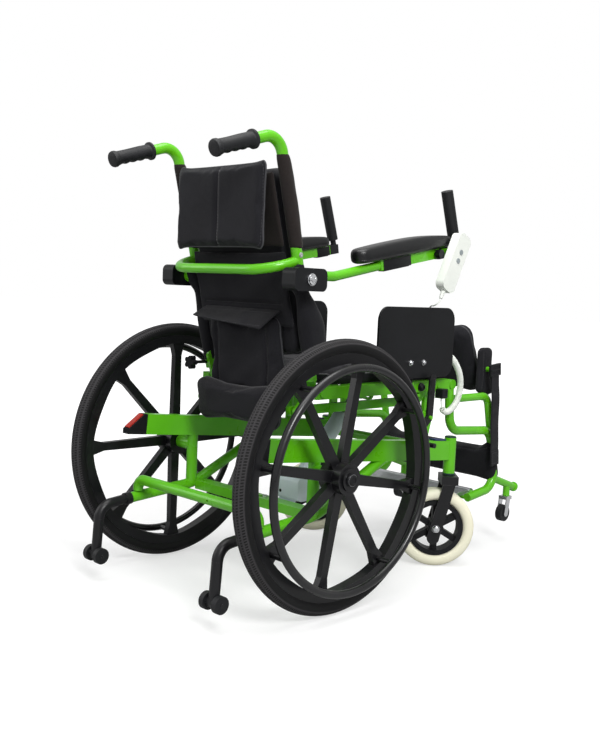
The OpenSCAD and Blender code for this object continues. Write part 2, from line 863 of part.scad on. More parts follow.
module caster_tyre(side) {
    depth = (caster_d - caster_rim_d) / 2;
    color(cream) caster_wheel_place(side) rotate_extrude() translate([caster_rim_d / 2 + depth / 2, 0])
        rounded_square(depth, caster_w, caster_tyre_round);
}
module left_caster_tyre() { caster_tyre(-1); }
module right_caster_tyre() { caster_tyre(1); }

module caster_rim(side) {
    inner_r = caster_rim_d / 2 - caster_rim_wall;
    color(black) caster_wheel_place(side) difference() {
        union() {
            difference() {
                cylinder(h = caster_rim_w, d = caster_rim_d, center = true);
                cylinder(h = 2 * caster_rim_w, r = inner_r, center = true);
            }
            cylinder(h = caster_w + 2 * blade_gap - 2 * side_gap, d = caster_hub_d, center = true);
            for (i = [0 : caster_spokes - 1]) rotate(360 * i / caster_spokes)
                translate([0, -caster_spoke_w / 2, -caster_spoke_t / 2])
                    cube([inner_r + caster_rim_wall / 2, caster_spoke_w, caster_spoke_t]);
        }
        cylinder(h = 2 * caster_w, d = caster_axle_d + 2 * run_fit, center = true);
    }
}
module left_caster_rim() { caster_rim(-1); }
module right_caster_rim() { caster_rim(1); }

module anti_tip_rollers(side) {
    near = tip_bar_d / 2 + side_gap;
    color(black) place() on_side(side) for (x = [rail_x - near - tip_roller_w, rail_x + near]) difference() {
        bar_x(x, x + tip_roller_w, [tip_axle_y, tip_axle_z], tip_roller_d);
        bar_x(x - overrun, x + tip_roller_w + overrun, [tip_axle_y, tip_axle_z], tip_axle_d + 2 * run_fit);
    }
}
module left_anti_tip_rollers() { anti_tip_rollers(-1); }
module right_anti_tip_rollers() { anti_tip_rollers(1); }

// Wheel locks
module brake_lever(side) {
    x = rail_x + rail_w / 2 + brake_plate_t + seat_gap;
    color(black) place() on_side(side) difference() {
        union() {
            flat_bar(brake_pivot, brake_lever_top, brake_lever_w, x, brake_lever_t);
            second_bar(brake_pivot, brake_shoe, brake_lever_w, x, brake_lever_t);
            bar_x(x, wheel_track / 2 + tyre_w / 2, brake_shoe, brake_shoe_d);
            rod(at(x + brake_lever_t / 2, brake_lever_top),
                at(x + brake_lever_t / 2, brake_lever_top - [0, brake_tip_len]), brake_tip_d);
        }
        bar_x(x - overrun, x + brake_lever_t + overrun, brake_pivot, link_pin_d + 2 * run_fit);
    }
}
module left_brake_lever() { brake_lever(-1); }
module right_brake_lever() { brake_lever(1); }

// Seat
module seat_frame() {
    inner = seat_rail_x - seat_rail_w / 2;
    outer = seat_rail_x + seat_rail_w / 2;
    rail_back_y = back_pivot[0] - seat_rail_back;
    rail_end_y = knee_pivot[0] - eye_d / 2 - seat_rail_gap;
    low_z = pivot_z - seat_rail_h / 2;
    slot_end = lift_lug + slot_len * [cos(slot_angle), sin(slot_angle)];
    color(green) place() difference() {
        union() {
            both_sides() {
                block([inner, rail_back_y, low_z], [outer, rail_end_y, pivot_z + seat_rail_h / 2]);
                flat_bar([rail_end_y - lug_w, pivot_z], knee_pivot, lug_w, inner - lug_t, lug_t);
                translate([guard_post_x, guard_mid_y, low_z]) cylinder(h = seat_rail_h, d = guard_socket_d);
            }
            for (y = [rear_tube_y, mid_tube_y]) bar_x(-inner, inner, [y, pivot_z], seat_tube_d);
            for (x = [-slot_x - slot_t, slot_x]) {
                flat_bar(lift_lug, slot_end, slot_w + 2 * slot_wall, x, slot_t);
                flat_bar([mid_tube_y, pivot_z], (lift_lug + slot_end) / 2, slot_hanger_w, x, slot_t);
            }
            block([outer - overrun, socket_y - socket_w / 2, socket_low_z],
                [socket_x + socket_w / 2, socket_y + socket_w / 2, pivot_z - pivot_pin_d / 2 - side_gap]);
        }
        for (p = [seat_pivot, back_pivot, knee_pivot])
            bar_x(-outer - overrun, outer + overrun, p, pivot_pin_d + 2 * run_fit);
        flat_bar(lift_lug - [0, slot_drop], slot_end - [0, slot_drop], slot_w, -slot_x - slot_t - overrun,
            2 * (slot_x + slot_t + overrun));
        both_sides() translate([guard_post_x, guard_mid_y, low_z - overrun])
            cylinder(h = seat_rail_h + 2 * overrun, d = guard_post_d + 2 * run_fit);
    }
}

module seat_cushion() {
    rear_y = back_pivot[0] + seat_rail_h;
    color(cloth) place() translate([0, rear_y + cushion_len / 2, pivot_z + seat_rail_h / 2 + seat_gap])
        pad(cushion_w, cushion_len, cushion_t);
}

module side_guard(side) {
    color(black) place() on_side(side) {
        side_plate(guard_len, guard_h, guard_round, guard_x, guard_t,
            [guard_mid_y, guard_low_z + guard_h / 2]);
        translate([guard_post_x, guard_mid_y, guard_post_low_z])
            cylinder(h = guard_post_high_z - guard_post_low_z, d = guard_post_d);
        block([guard_post_x, guard_mid_y - guard_clip_w / 2, guard_post_high_z - guard_clip_h],
            [guard_x, guard_mid_y + guard_clip_w / 2, guard_post_high_z]);
        for (y = [-1, 1]) bar_x(guard_x, guard_x + guard_t + bolt_h,
            [guard_mid_y + y * guard_bolt_step / 2, guard_bolt_z], bolt_d);
    }
}
module left_side_guard() { side_guard(-1); }
module right_side_guard() { side_guard(1); }

module lower_links() {
    color(green) place() both_sides() difference() {
        flat_bar(link_base, link_back, link_w, link_x - link_t / 2, link_t);
        bar_x(link_x - link_t, link_x + link_t, link_base, link_pin_d + 2 * run_fit);
        bar_x(link_x - link_t, link_x + link_t, link_back, link_pin_d + 2 * link_play);
    }
}

// Lift actuator
lift_dir = unit(lift_lug - motor_foot);

module actuator_housing() {
    middle = motor_foot + [(motor_front - motor_back) / 2, (motor_high + motor_low) / 2];
    pin_x = lift_tube_d / 2 + side_gap + bracket_t;
    color(pale) place() difference() {
        union() {
            side_plate(motor_front + motor_back, motor_high - motor_low, motor_round,
                motor_side - motor_w / 2, motor_w, middle);
            rod(at(0, motor_foot), at(0, motor_foot + lift_dir * lift_tube_len), lift_tube_d);
            bar_x(-pin_x, pin_x, motor_foot, link_pin_d);
        }
        rod(at(0, motor_foot + lift_dir * (lift_rod_root - overrun)),
            at(0, motor_foot + lift_dir * (lift_tube_len + overrun)), lift_rod_d + 2 * run_fit);
    }
}

module actuator_rod() {
    color(silver) place() {
        rod(at(0, motor_foot + lift_dir * lift_rod_root), at(0, lift_lug), lift_rod_d);
        bar_x(-slot_x + seat_gap, slot_x - seat_gap, lift_lug, lift_rod_d);
        bar_x(-slot_x - slot_t, slot_x + slot_t, lift_lug, link_pin_d);
    }
}

// Backrest
post_slope = (post_knee_y - post_low_y) / (post_knee_z - post_low_z);
function post_y(z) = post_low_y + (z - post_low_z) * post_slope;
high_slope = (handle_y - post_knee_y) / (handle_top_z - post_knee_z);
function high_post_y(z) = post_knee_y + (z - post_knee_z) * high_slope;
handle_corner = [post_x, handle_y, handle_top_z];
handle_run = sqrt(pow(handle_len, 2) - pow(handle_top_z - handle_end_z, 2));
handle_end = [post_x, handle_y - handle_run, handle_end_z];
handle_dir = unit(handle_end - handle_corner);

module back_frame() {
    plate_top = [post_y(post_low_z + back_plate_w), post_low_z + back_plate_w];
    outer = seat_rail_x + seat_rail_w / 2;
    housing_inner = arm_x - housing_w / 2;
    housing_outer = arm_x + housing_w / 2;
    color(green) place() difference() {
        union() {
            both_sides() {
                bent_tube([[post_x, post_low_y, post_low_z], [post_x, post_knee_y, post_knee_z],
                    handle_corner, handle_end], post_d, [post_bend, handle_bend]);
                flat_bar(plate_top, back_pivot, back_plate_w, back_plate_x, back_plate_t);
                second_bar(back_pivot, link_back, link_arm_w, back_plate_x, back_plate_t);
                bar_x(back_plate_x, outer + bolt_h, back_pivot, pivot_pin_d);
                bar_x(outer + seat_gap, outer + bolt_h, back_pivot, pivot_head_d);
                bar_x(link_x - link_t / 2 - side_gap, back_plate_x + back_plate_t, link_back, link_pin_d);
                bar_x(post_x, housing_inner - seat_gap, arm_pivot, arm_boss_d);
                bar_x(post_x, housing_outer + bolt_h, arm_pivot, arm_pin_d);
                bar_x(housing_outer + seat_gap, housing_outer + bolt_h, arm_pivot, arm_head_d);
            }
            bent_tube([[-post_x, post_y(back_bow_top_z), back_bow_top_z], [-post_x, back_bow_y, back_bow_z],
                [post_x, back_bow_y, back_bow_z], [post_x, post_y(back_bow_top_z), back_bow_top_z]],
                back_bow_d, [back_bow_bend, back_bow_bend]);
        }
        translate([-post_x, post_y(knob_z), knob_z]) rotate([90, 0, 0])
            cylinder(h = post_d, d = knob_stem_d + 2 * run_fit);
    }
}

module push_grips() {
    start = handle_end - handle_dir * (grip_len - grip_wall_end);
    color(black) place() both_sides() difference() {
        union() {
            rod(start, start + handle_dir * grip_len, grip_d);
            rod(start, start + handle_dir * grip_flange_t, grip_flange_d);
        }
        rod(start - handle_dir * overrun, handle_end + handle_dir * seat_gap, post_d + 2 * run_fit);
    }
}

// Stands a pad up with its flat back along the rear side of the posts
module back_pad_place(low_z, high_z, lean, y, behind) {
    translate([0, y, (low_z + high_z) / 2]) rotate([atan(-lean), 0, 0])
        translate([0, -post_d / 2 - behind, 0]) children();
}

module back_rest() {
    mid_z = (back_rest_low_z + back_rest_high_z) / 2;
    inner = post_x - post_d / 2 - seat_gap;
    color(cloth) place() back_pad_place(back_rest_low_z, back_rest_high_z, post_slope, post_y(mid_z), 0)
        rotate([-90, 0, 0]) pad(2 * inner, back_rest_high_z - back_rest_low_z, back_rest_t);
}

module back_flap() {
    color(cloth) place() back_pad_place(flap_low_z, flap_high_z, 0, high_post_y(flap_high_z), seat_gap)
        rotate([90, 0, 0]) pad(flap_w, flap_high_z - flap_low_z, flap_t, flap_seam);
}

module rear_pocket() {
    mid_z = (pocket_low_z + pocket_high_z) / 2;
    color(cloth) place() back_pad_place(pocket_low_z, pocket_high_z, post_slope, post_y(mid_z), seat_gap)
        rotate([90, 0, 0]) pad(pocket_w, pocket_high_z - pocket_low_z, pocket_t);
}

module back_knob() {
    start_y = post_y(knob_z) - knob_stem_d;
    color(black) place() translate([-post_x, start_y, knob_z]) rotate([90, 0, 0]) {
        cylinder(h = knob_stem_len + knob_h / 2, d = knob_stem_d);
        translate([0, 0, knob_stem_len]) cylinder(h = knob_h, d = knob_d - knob_lobe_d);
        for (i = [0 : knob_lobes - 1]) rotate(360 * i / knob_lobes)
            translate([knob_d / 2 - knob_lobe_d / 2, 0, knob_stem_len + bend_skin])
                cylinder(h = knob_h - 2 * bend_skin, d = knob_lobe_d);
    }
}

// Armrests
module arm_housing(side) {
    inner = arm_x - housing_w / 2;
    color(black) place() on_side(side) difference() {
        side_plate(housing_len, housing_h, housing_round, inner, housing_w, arm_pivot);
        bar_x(inner - overrun, inner + housing_w + overrun, arm_pivot, arm_pin_d + 2 * run_fit);
    }
}
module left_arm_housing() { arm_housing(-1); }
module right_arm_housing() { arm_housing(1); }

// The pad's own frame: its middle underneath, tilted up to the front
module arm_pad_place(side) {
    place() on_side(side) translate([arm_x, pad_mid_y, pad_low_z]) rotate([arm_tilt, 0, 0]) children();
}

module arm_frame(side) {
    tube_start = arm_pivot[0] + housing_len / 2 + seat_gap;
    half = arm_rail_w / 2;
    color(green) difference() {
        union() {
            place() on_side(side) bent_tube([[arm_x, tube_start, arm_tube_z],
                [arm_x, arm_tube_flat_y, arm_tube_z],
                [arm_x, arm_tube_end_y, arm_rail_z(arm_tube_end_y)]], arm_tube_d, [arm_tube_bend]);
            arm_pad_place(side) block([-half, -arm_rail_back, -seat_gap - arm_rail_w],
                [half, arm_rail_front, -seat_gap]);
            if (side > 0) arm_pad_place(side)
                block([half - side_gap, holder_y - holder_t / 2, -seat_gap - holder_h],
                    [handset_x - arm_x - seat_gap, holder_y + holder_t / 2, -seat_gap - side_gap]);
        }
        arm_pad_place(side) {
            block([-arm_bore_w / 2, arm_rail_front - arm_bore_len, -seat_gap - half - arm_bore_w / 2],
                [arm_bore_w / 2, arm_rail_front + overrun, -seat_gap - half + arm_bore_w / 2]);
            translate([0, clamp_y, -seat_gap - half]) rotate([0, 90, 0])
                cylinder(h = arm_rail_w, d = clamp_stem_d + 2 * run_fit);
        }
    }
}
module left_arm_frame() { arm_frame(-1); }
module right_arm_frame() { arm_frame(1); }

module arm_pad(side) {
    color(black) arm_pad_place(side) pad(arm_pad_w, arm_pad_len, arm_pad_t);
}
module left_arm_pad() { arm_pad(-1); }
module right_arm_pad() { arm_pad(1); }

module hand_post(side) {
    half = slider_w / 2;
    mid_z = -seat_gap - arm_rail_w / 2;
    color(black) arm_pad_place(side) {
        block([-half, arm_rail_front + slider_reach - slider_len, mid_z - half],
            [half, arm_rail_front + slider_reach, mid_z + half]);
        block([-post_block_w / 2, arm_rail_front + seat_gap, mid_z - post_block_w / 2],
            [post_block_w / 2, arm_rail_front + slider_reach, mid_z + post_block_w / 2]);
    }
    color(black) place() on_side(side) translate(at(arm_x, grip_low)) rotate([grip_lean, 0, 0]) {
        cylinder(h = hand_grip_len, d = hand_grip_d);
        translate([0, 0, -post_block_len]) cylinder(h = post_block_len, d = slider_w);
    }
}
module left_hand_post() { hand_post(-1); }
module right_hand_post() { hand_post(1); }

module clamp_knob(side) {
    color(black) arm_pad_place(side) translate([arm_rail_w / 2, clamp_y, -seat_gap - arm_rail_w / 2])
        rotate([0, 90, 0]) {
            translate([0, 0, arm_bore_w / 2 - arm_rail_w / 2]) cylinder(h = clamp_stem_len, d = clamp_stem_d);
            translate([0, 0, clamp_stem_len / 2]) cylinder(h = clamp_h, d = clamp_d);
        }
}
module left_clamp_knob() { clamp_knob(-1); }
module right_clamp_knob() { clamp_knob(1); }

// Handset
module handset_place() {
    place() translate(at(handset_x, handset_mid)) rotate([-handset_lean, 0, 0]) rotate([90, 0, 90])
        children();
}

module handset() {
    color(white) handset_place() difference() {
        union() {
            linear_extrude(handset_t) rounded_square(handset_w, handset_len, handset_round);
            translate([0, -handset_len / 2, handset_t / 2]) rotate([90, 0, 0])
                cylinder(h = relief_len, d1 = relief_d, d2 = relief_tip_d);
        }
        for (y = [-1, 1]) translate([0, button_mid + y * button_step / 2, handset_t - button_sink])
            cylinder(h = button_h, d = button_d + 2 * seat_gap);
    }
}

module button(step) {
    color(silver) handset_place() translate([0, button_mid + step * button_step / 2,
        handset_t - button_sink + button_sink / 2]) cylinder(h = button_h - button_sink / 2, d = button_d);
}
module up_button() { button(1); }
module down_button() { button(-1); }

// Handset cord: a smooth curve through the route, wound into curls between two of its points
function spline(p, t) = let (i = min(floor(t), len(p) - 2), f = t - i,
    a = p[max(i - 1, 0)], b = p[i], c = p[i + 1], d = p[min(i + 2, len(p) - 1)])
    0.5 * (2 * b + (c - a) * f + (2 * a - 5 * b + 4 * c - d) * f * f
        + (3 * b - a - 3 * c + d) * f * f * f);
spline_step = 0.02;
function spline_dir(p, t) = unit(spline(p, min(t + spline_step, len(p) - 1))
    - spline(p, max(t - spline_step, 0)));
function smooth(x) = let (c = min(max(x, 0), 1)) c * c * (3 - 2 * c);
function curl_t(i) = cord_curl_start + (cord_curl_end - cord_curl_start) * i / curl_steps;
function curl_step_len(i) = norm(spline(cord_route, curl_t(i + 1)) - spline(cord_route, curl_t(i)));
// Length along the curled stretch against the place on the route, so that the curls are even
curl_table = [for (i = 0, s = 0; i <= curl_steps; s = s + curl_step_len(i), i = i + 1) [s, curl_t(i)]];
curl_len = curl_table[curl_steps][0];
curl_rings = cord_rings_per_curl * cord_curls;
ramp_rings = cord_rings_per_curl * cord_ramp;
cord_last = len(cord_route) - 1;
head_rings = cord_straight_rings * floor(cord_curl_start);
// Each ring's place on the route, its angle round the route and its distance from it
cord_rings = concat(
    [for (i = [0 : head_rings - 1]) [i / cord_straight_rings, 0, 0]],
    [for (i = [0 : curl_rings]) [lookup(curl_len * i / curl_rings, curl_table),
        360 * i / cord_rings_per_curl,
        cord_curl_r * smooth(i / ramp_rings) * smooth((curl_rings - i) / ramp_rings)]],
    [for (i = [1 : cord_straight_rings])
        [cord_curl_end + (cord_last - cord_curl_end) * i / cord_straight_rings, 0, 0]]
);
function cord_out(r) = let (d = spline_dir(cord_route, r[0]), n = unit(cross([1, 0, 0], d)), b = cross(d, n))
    n * cos(r[1]) + b * sin(r[1]);
cord_mids = [for (r = cord_rings) spline(cord_route, r[0]) + r[2] * cord_out(r)];
cord_turn = cord_rings_per_curl;
cord_gap = min([for (i = [head_rings : head_rings + curl_rings - cord_turn - 1],
    j = [i + cord_turn - 1 : i + cord_turn + 1]) norm(cord_mids[i] - cord_mids[j])]) - cord_d;

module handset_cord() {
    last = len(cord_mids) - 1;
    points = [for (k = [0 : last]) let (t = unit(cord_mids[min(k + 1, last)] - cord_mids[max(k - 1, 0)]),
        o = cord_out(cord_rings[k]), e = unit(o - (o * t) * t), g = cross(t, e))
        each [for (s = [0 : cord_sides - 1]) let (a = 360 * s / cord_sides)
            cord_mids[k] + cord_d / 2 * (e * cos(a) + g * sin(a))]];
    faces = concat(
        [for (k = [0 : last - 1], s = [0 : cord_sides - 1])
            let (a = k * cord_sides, n = (s + 1) % cord_sides) [a + s, a + cord_sides + n, a + n]],
        [for (k = [0 : last - 1], s = [0 : cord_sides - 1])
            let (a = k * cord_sides, n = (s + 1) % cord_sides)
                [a + s, a + cord_sides + s, a + cord_sides + n]],
        [[for (s = [0 : cord_sides - 1]) s]],
        [[for (s = [cord_sides - 1 : -1 : 0]) last * cord_sides + s]]
    );
    echo(str("least gap between curls of the cord, mm: ", cord_gap));
    color(white) place() polyhedron(points, faces);
}

// Leg rest
module leg_tube(d) {
    x = seat_rail_x;
    bent_tube([at(x, knee_pivot), at(x, hanger_knee), at(x, hanger_front), at(x, hanger_foot),
        at(x, hanger_end)], d, [leg_bend, leg_bend, leg_bend]);
}

module outrigger(d) {
    rod(at(seat_rail_x, outrigger_start), at(seat_rail_x, outrigger_end), d);
}

module leg_frame() {
    eye_inner = seat_rail_x - seat_rail_w / 2 + seat_gap;
    eye_outer = seat_rail_x + seat_rail_w / 2;
    x = seat_rail_x;
    hinge_z = hanger_end[1] + (hanger_foot[1] - hanger_end[1]) * (foot_hinge_y - hanger_end[0])
        / (hanger_foot[0] - hanger_end[0]);
    peg_z = hinge_z - footplate_t / 2 - foot_peg_d / 2 - seat_gap;
    leg_run = hanger_foot - hanger_front;
    knee_back = hanger_knee + (knee_pivot - hanger_knee) * (knee_arm_z - hanger_knee[1])
        / (pivot_z - hanger_knee[1]);
    knee_top = hanger_front + leg_run * (knee_arm_z - hanger_front[1]) / leg_run[1];
    bar_x0 = knee_pad_w / 2 + seat_gap;
    color(green) place() difference() {
        union() {
            both_sides() {
                leg_tube(leg_tube_d);
                bar_x(eye_inner, eye_outer, knee_pivot, eye_d);
                bar_x(eye_inner - seat_gap - lug_t - side_gap, eye_outer, knee_pivot, pivot_pin_d);
                bent_tube([at(x, knee_back), at(x, knee_top),
                    at(x, hanger_front + leg_run * knee_arm_share)], knee_arm_d, [knee_arm_bend]);
                flat_bar(knee_top, knee_pad_mid, knee_bar_w, bar_x0, knee_bar_t);
                outrigger(outrigger_d);
                rod(at(x, outrigger_end), at(x, outrigger_end) + outrigger_cap_t
                    * unit(at(x, outrigger_end) - at(x, outrigger_start)), outrigger_cap_d);
                translate([x, mini_y, mini_boss_z])
                    cylinder(h = outrigger_start[1] - mini_boss_z - leg_tube_d, d = mini_boss_d);
                bar_x(x - leg_tube_d / 2 - foot_peg_len, x, [foot_peg_y, peg_z], foot_peg_d);
            }
            bar_x(-x, x, [foot_hinge_y, hinge_z], foot_hinge_d);
            bar_x(bar_x0 + bend_skin, strap_x - seat_gap, strap_top, strap_post_d);
        }
        both_sides() translate([x, mini_y, mini_boss_z - overrun])
            cylinder(h = mini_boss_d + overrun, d = mini_stem_d + 2 * run_fit);
    }
}

module shin_pad() {
    run = hanger_foot - hanger_front;
    middle = hanger_front + run * shin_share;
    color(cloth) place() difference() {
        translate(at(-shin_pad_w / 2, middle)) rotate([atan2(run[1], run[0]), 0, 0]) rotate([90, 0, 90])
            linear_extrude(shin_pad_w) rounded_square(shin_pad_h, shin_pad_t, shin_round);
        both_sides() {
            leg_tube(leg_tube_d + 2 * seat_gap);
            outrigger(outrigger_d + 2 * seat_gap);
        }
    }
}

module knee_pad() {
    color(cloth) place() translate(at(0, knee_pad_mid)) rotate([knee_pad_lean, 0, 0])
        rotate([90, 0, 0]) pad(knee_pad_w, knee_pad_h, knee_pad_t);
}

module knee_strap() {
    run = strap_low - strap_top;
    fall = atan2(run[1], run[0]);
    color(black) place() translate(at(strap_x, strap_top)) rotate([fall, 0, 0]) {
        translate([0, 0, -strap_w / 2]) cube([strap_t, norm(run), strap_w]);
        translate([0, -buckle_h / 2, -buckle_w / 2]) cube([buckle_t, buckle_h, buckle_w]);
        translate([0, norm(run) - strap_w, -strap_w / 2]) cube([2 * strap_t, strap_w, strap_w]);
    }
}

module footplate() {
    hinge_z = hanger_end[1] + (hanger_foot[1] - hanger_end[1]) * (foot_hinge_y - hanger_end[0])
        / (hanger_foot[0] - hanger_end[0]);
    pitch = footplate_len / (foot_rib_count + 1);
    half = footplate_w / 2;
    cut_y = footplate_len - foot_cut_y;
    color(silver) place() translate([0, foot_hinge_y, hinge_z]) difference() {
        union() {
            bar_x(-footplate_w / 2, footplate_w / 2, [0, 0], foot_knuckle_d);
            translate([0, 0, -footplate_t / 2]) linear_extrude(footplate_t) polygon([[-half, 0], [half, 0],
                [half, -cut_y], [half - foot_cut_x, -footplate_len], [foot_cut_x - half, -footplate_len],
                [-half, -cut_y]]);
            for (i = [1 : foot_rib_count]) {
                rib_half = half - side_gap - foot_cut_x * max(0, i * pitch + pitch / 4 - cut_y) / foot_cut_y;
                block([-rib_half, -i * pitch - pitch / 4, 0], [rib_half, -i * pitch + pitch / 4,
                    footplate_t / 2 + foot_rib_h]);
            }
        }
        bar_x(-footplate_w, footplate_w, [0, 0], foot_hinge_d + 2 * run_fit);
    }
}

module mini_place(side) {
    place() translate([side * seat_rail_x, mini_y, 0]) children();
}

module mini_fork(side) {
    top_z = mini_boss_z - seat_gap;
    axle = [-mini_trail, mini_axle_z];
    x = mini_w / 2 + mini_fork_gap;
    color(silver) mini_place(side) {
        translate([0, 0, top_z - mini_top_h]) cylinder(h = mini_top_h + mini_boss_d, d = mini_stem_d);
        block([-x - mini_plate_t, -mini_boss_d / 2 - mini_trail / 2, top_z - mini_top_h],
            [x + mini_plate_t, mini_boss_d / 2, top_z]);
        for (s = [-x - mini_plate_t, x]) flat_bar([-mini_trail / 2, top_z - mini_plate_w / 2 - side_gap],
            axle, mini_plate_w, s, mini_plate_t);
        bar_x(-x, x, axle, mini_axle_d);
    }
}
module left_mini_fork() { mini_fork(-1); }
module right_mini_fork() { mini_fork(1); }

module mini_wheel(side) {
    color(rubber) mini_place(side) difference() {
        bar_x(-mini_w / 2, mini_w / 2, [-mini_trail, mini_axle_z], mini_d);
        bar_x(-mini_w, mini_w, [-mini_trail, mini_axle_z], mini_axle_d + 2 * run_fit);
    }
}
module left_mini_wheel() { mini_wheel(-1); }
module right_mini_wheel() { mini_wheel(1); }

left_side_frame();
right_side_frame();
cross_members();
rail_end_caps();
rear_reflectors();
rear_axles();
anti_tip_bars();
frame_bolts();
left_tyre();
right_tyre();
left_mag_wheel();
right_mag_wheel();
left_handrim();
right_handrim();
left_caster_fork();
right_caster_fork();
left_caster_tyre();
right_caster_tyre();
left_caster_rim();
right_caster_rim();
left_anti_tip_rollers();
right_anti_tip_rollers();
left_brake_lever();
right_brake_lever();
seat_frame();
seat_cushion();
left_side_guard();
right_side_guard();
lower_links();
actuator_housing();
actuator_rod();
back_frame();
push_grips();
back_rest();
back_flap();
rear_pocket();
back_knob();
left_arm_housing();
right_arm_housing();
left_arm_frame();
right_arm_frame();
left_arm_pad();
right_arm_pad();
left_hand_post();
right_hand_post();
left_clamp_knob();
right_clamp_knob();
handset();
up_button();
down_button();
handset_cord();
leg_frame();
shin_pad();
knee_pad();
knee_strap();
footplate();
left_mini_fork();
right_mini_fork();
left_mini_wheel();
right_mini_wheel();
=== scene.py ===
import json
import math

import bpy
import numpy as np
from mathutils import Matrix, Vector
from mathutils.bvhtree import BVHTree


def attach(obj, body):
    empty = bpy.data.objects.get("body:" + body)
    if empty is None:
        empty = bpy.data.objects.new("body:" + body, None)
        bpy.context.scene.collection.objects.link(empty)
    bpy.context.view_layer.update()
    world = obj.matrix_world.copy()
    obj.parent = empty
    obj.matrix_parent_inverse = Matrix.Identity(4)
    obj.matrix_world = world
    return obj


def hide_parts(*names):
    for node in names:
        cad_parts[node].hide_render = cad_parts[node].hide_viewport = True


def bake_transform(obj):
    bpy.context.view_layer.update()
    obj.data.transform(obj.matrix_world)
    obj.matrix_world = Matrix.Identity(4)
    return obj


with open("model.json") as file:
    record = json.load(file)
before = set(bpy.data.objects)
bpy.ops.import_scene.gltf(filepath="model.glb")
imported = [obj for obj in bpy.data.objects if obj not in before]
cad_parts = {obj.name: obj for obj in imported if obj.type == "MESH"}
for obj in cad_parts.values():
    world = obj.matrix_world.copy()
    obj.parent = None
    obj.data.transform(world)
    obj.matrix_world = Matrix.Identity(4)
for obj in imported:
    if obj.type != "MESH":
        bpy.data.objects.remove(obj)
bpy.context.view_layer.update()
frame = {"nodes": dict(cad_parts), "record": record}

scene = bpy.context.scene
nodes = frame["nodes"]

# The chair's own millimetres, from the floor under the rear axle, to the model's metres
MIDDLE_Y = 0.291
SIDES = ((-1, "left"), (1, "right"))
POST_X = 178
BARREL = (222, 510)
KNEE_MIDDLE, KNEE_LEAN = (712, 548), 25
LEG_TOP, LEG_FOOT = (742, 338), (782, 172)
STRAP_X, STRAP_TOP, STRAP_FOOT = 208.4, (712, 512), (742, 240)


def spot(x, y, z):
    return Vector((x / 1000, y / 1000 - MIDDLE_Y, z / 1000))


# Camera
def set_camera():
    turn, lift, roll = (math.radians(a) for a in (44.655, 5.285, 2.518))
    back = Vector((math.sin(turn) * math.cos(lift), -math.cos(turn) * math.cos(lift), math.sin(lift)))
    right = Vector((0, 0, 1)).cross(back).normalized()
    up = back.cross(right)
    right, up = right * math.cos(roll) + up * math.sin(roll), up * math.cos(roll) - right * math.sin(roll)
    bpy.ops.object.camera_add()
    camera = bpy.context.object
    camera.name = "photo_camera"
    stand = Matrix.Translation(spot(1652.5, -1510.3, 714.1))
    camera.matrix_world = stand @ Matrix((right, up, back)).transposed().to_4x4()
    camera.data.lens, camera.data.sensor_width = 45.08, 36
    camera.data.clip_start, camera.data.clip_end = 0.05, 100
    scene.camera = camera


# Making pieces
def deselect():
    if bpy.context.mode != "OBJECT":
        bpy.ops.object.mode_set(mode="OBJECT")
    bpy.ops.object.select_all(action="DESELECT")


def take(piece):
    deselect()
    piece.select_set(True)
    bpy.context.view_layer.objects.active = piece


def settle(piece):
    take(piece)
    bpy.ops.object.transform_apply(location=True, rotation=True, scale=True)


def put(piece, matrix):
    piece.data.transform(matrix)
    piece.data.update()
    return piece


def block(name, low, high):
    deselect()
    low, high = Vector(low), Vector(high)
    bpy.ops.mesh.primitive_cube_add(size=1, location=(low + high) / 2, scale=high - low)
    piece = bpy.context.object
    piece.name = name
    settle(piece)
    return piece


def round_bar(name, a, b, radius, sides=32):
    deselect()
    a, b = Vector(a), Vector(b)
    long, middle = (b - a).length, (a + b) / 2
    bpy.ops.mesh.primitive_cylinder_add(vertices=sides, radius=radius, depth=long, location=middle)
    piece = bpy.context.object
    piece.name = name
    piece.rotation_mode = "QUATERNION"
    piece.rotation_quaternion = (b - a).to_track_quat("Z", "Y")
    settle(piece)
    return piece


def pick(piece, kind, test):
    """Selects the faces of a piece by middle and normal, or its edges by middle and run, with a test."""
    take(piece)
    mesh = piece.data
    for part in (mesh.polygons, mesh.edges, mesh.vertices):
        part.foreach_set("select", [False] * len(part))
    if kind == "FACE":
        for f in mesh.polygons:
            f.select = bool(test(f.center, f.normal))
    else:
        for e in mesh.edges:
            a, b = (mesh.vertices[i].co for i in e.vertices)
            e.select = bool(test((a + b) / 2, b - a))
    bpy.ops.object.mode_set(mode="EDIT")
    bpy.ops.mesh.select_mode(type=kind)


def done_editing():
    bpy.ops.object.mode_set(mode="OBJECT")


def recess(piece, test, rim, move):
    """Sinks or raises the picked faces inside a rim."""
    pick(piece, "FACE", test)
    bpy.ops.mesh.inset(thickness=rim)
    bpy.ops.mesh.extrude_region_move(TRANSFORM_OT_translate={"value": move})
    done_editing()


def reshape(piece, kind, **values):
    """Adds a modifier with these values and applies it."""
    take(piece)
    step = piece.modifiers.new("step", kind)
    for key, value in values.items():
        setattr(step, key, value)
    bpy.ops.object.modifier_apply(modifier=step.name)


def soften(piece, width, segments=3, angle=0.6):
    reshape(piece, "BEVEL", width=width, segments=segments, limit_method="ANGLE", angle_limit=angle)


def smooth(piece, angle=0.7):
    take(piece)
    bpy.ops.object.shade_smooth_by_angle(angle=angle)
    return piece


def subdivide(piece):
    reshape(piece, "SUBSURF", levels=1, render_levels=1)


def outwards(piece):
    take(piece)
    bpy.ops.object.mode_set(mode="EDIT")
    bpy.ops.mesh.select_all(action="SELECT")
    bpy.ops.mesh.remove_doubles(threshold=1e-5)
    bpy.ops.mesh.normals_make_consistent(inside=False)
    done_editing()


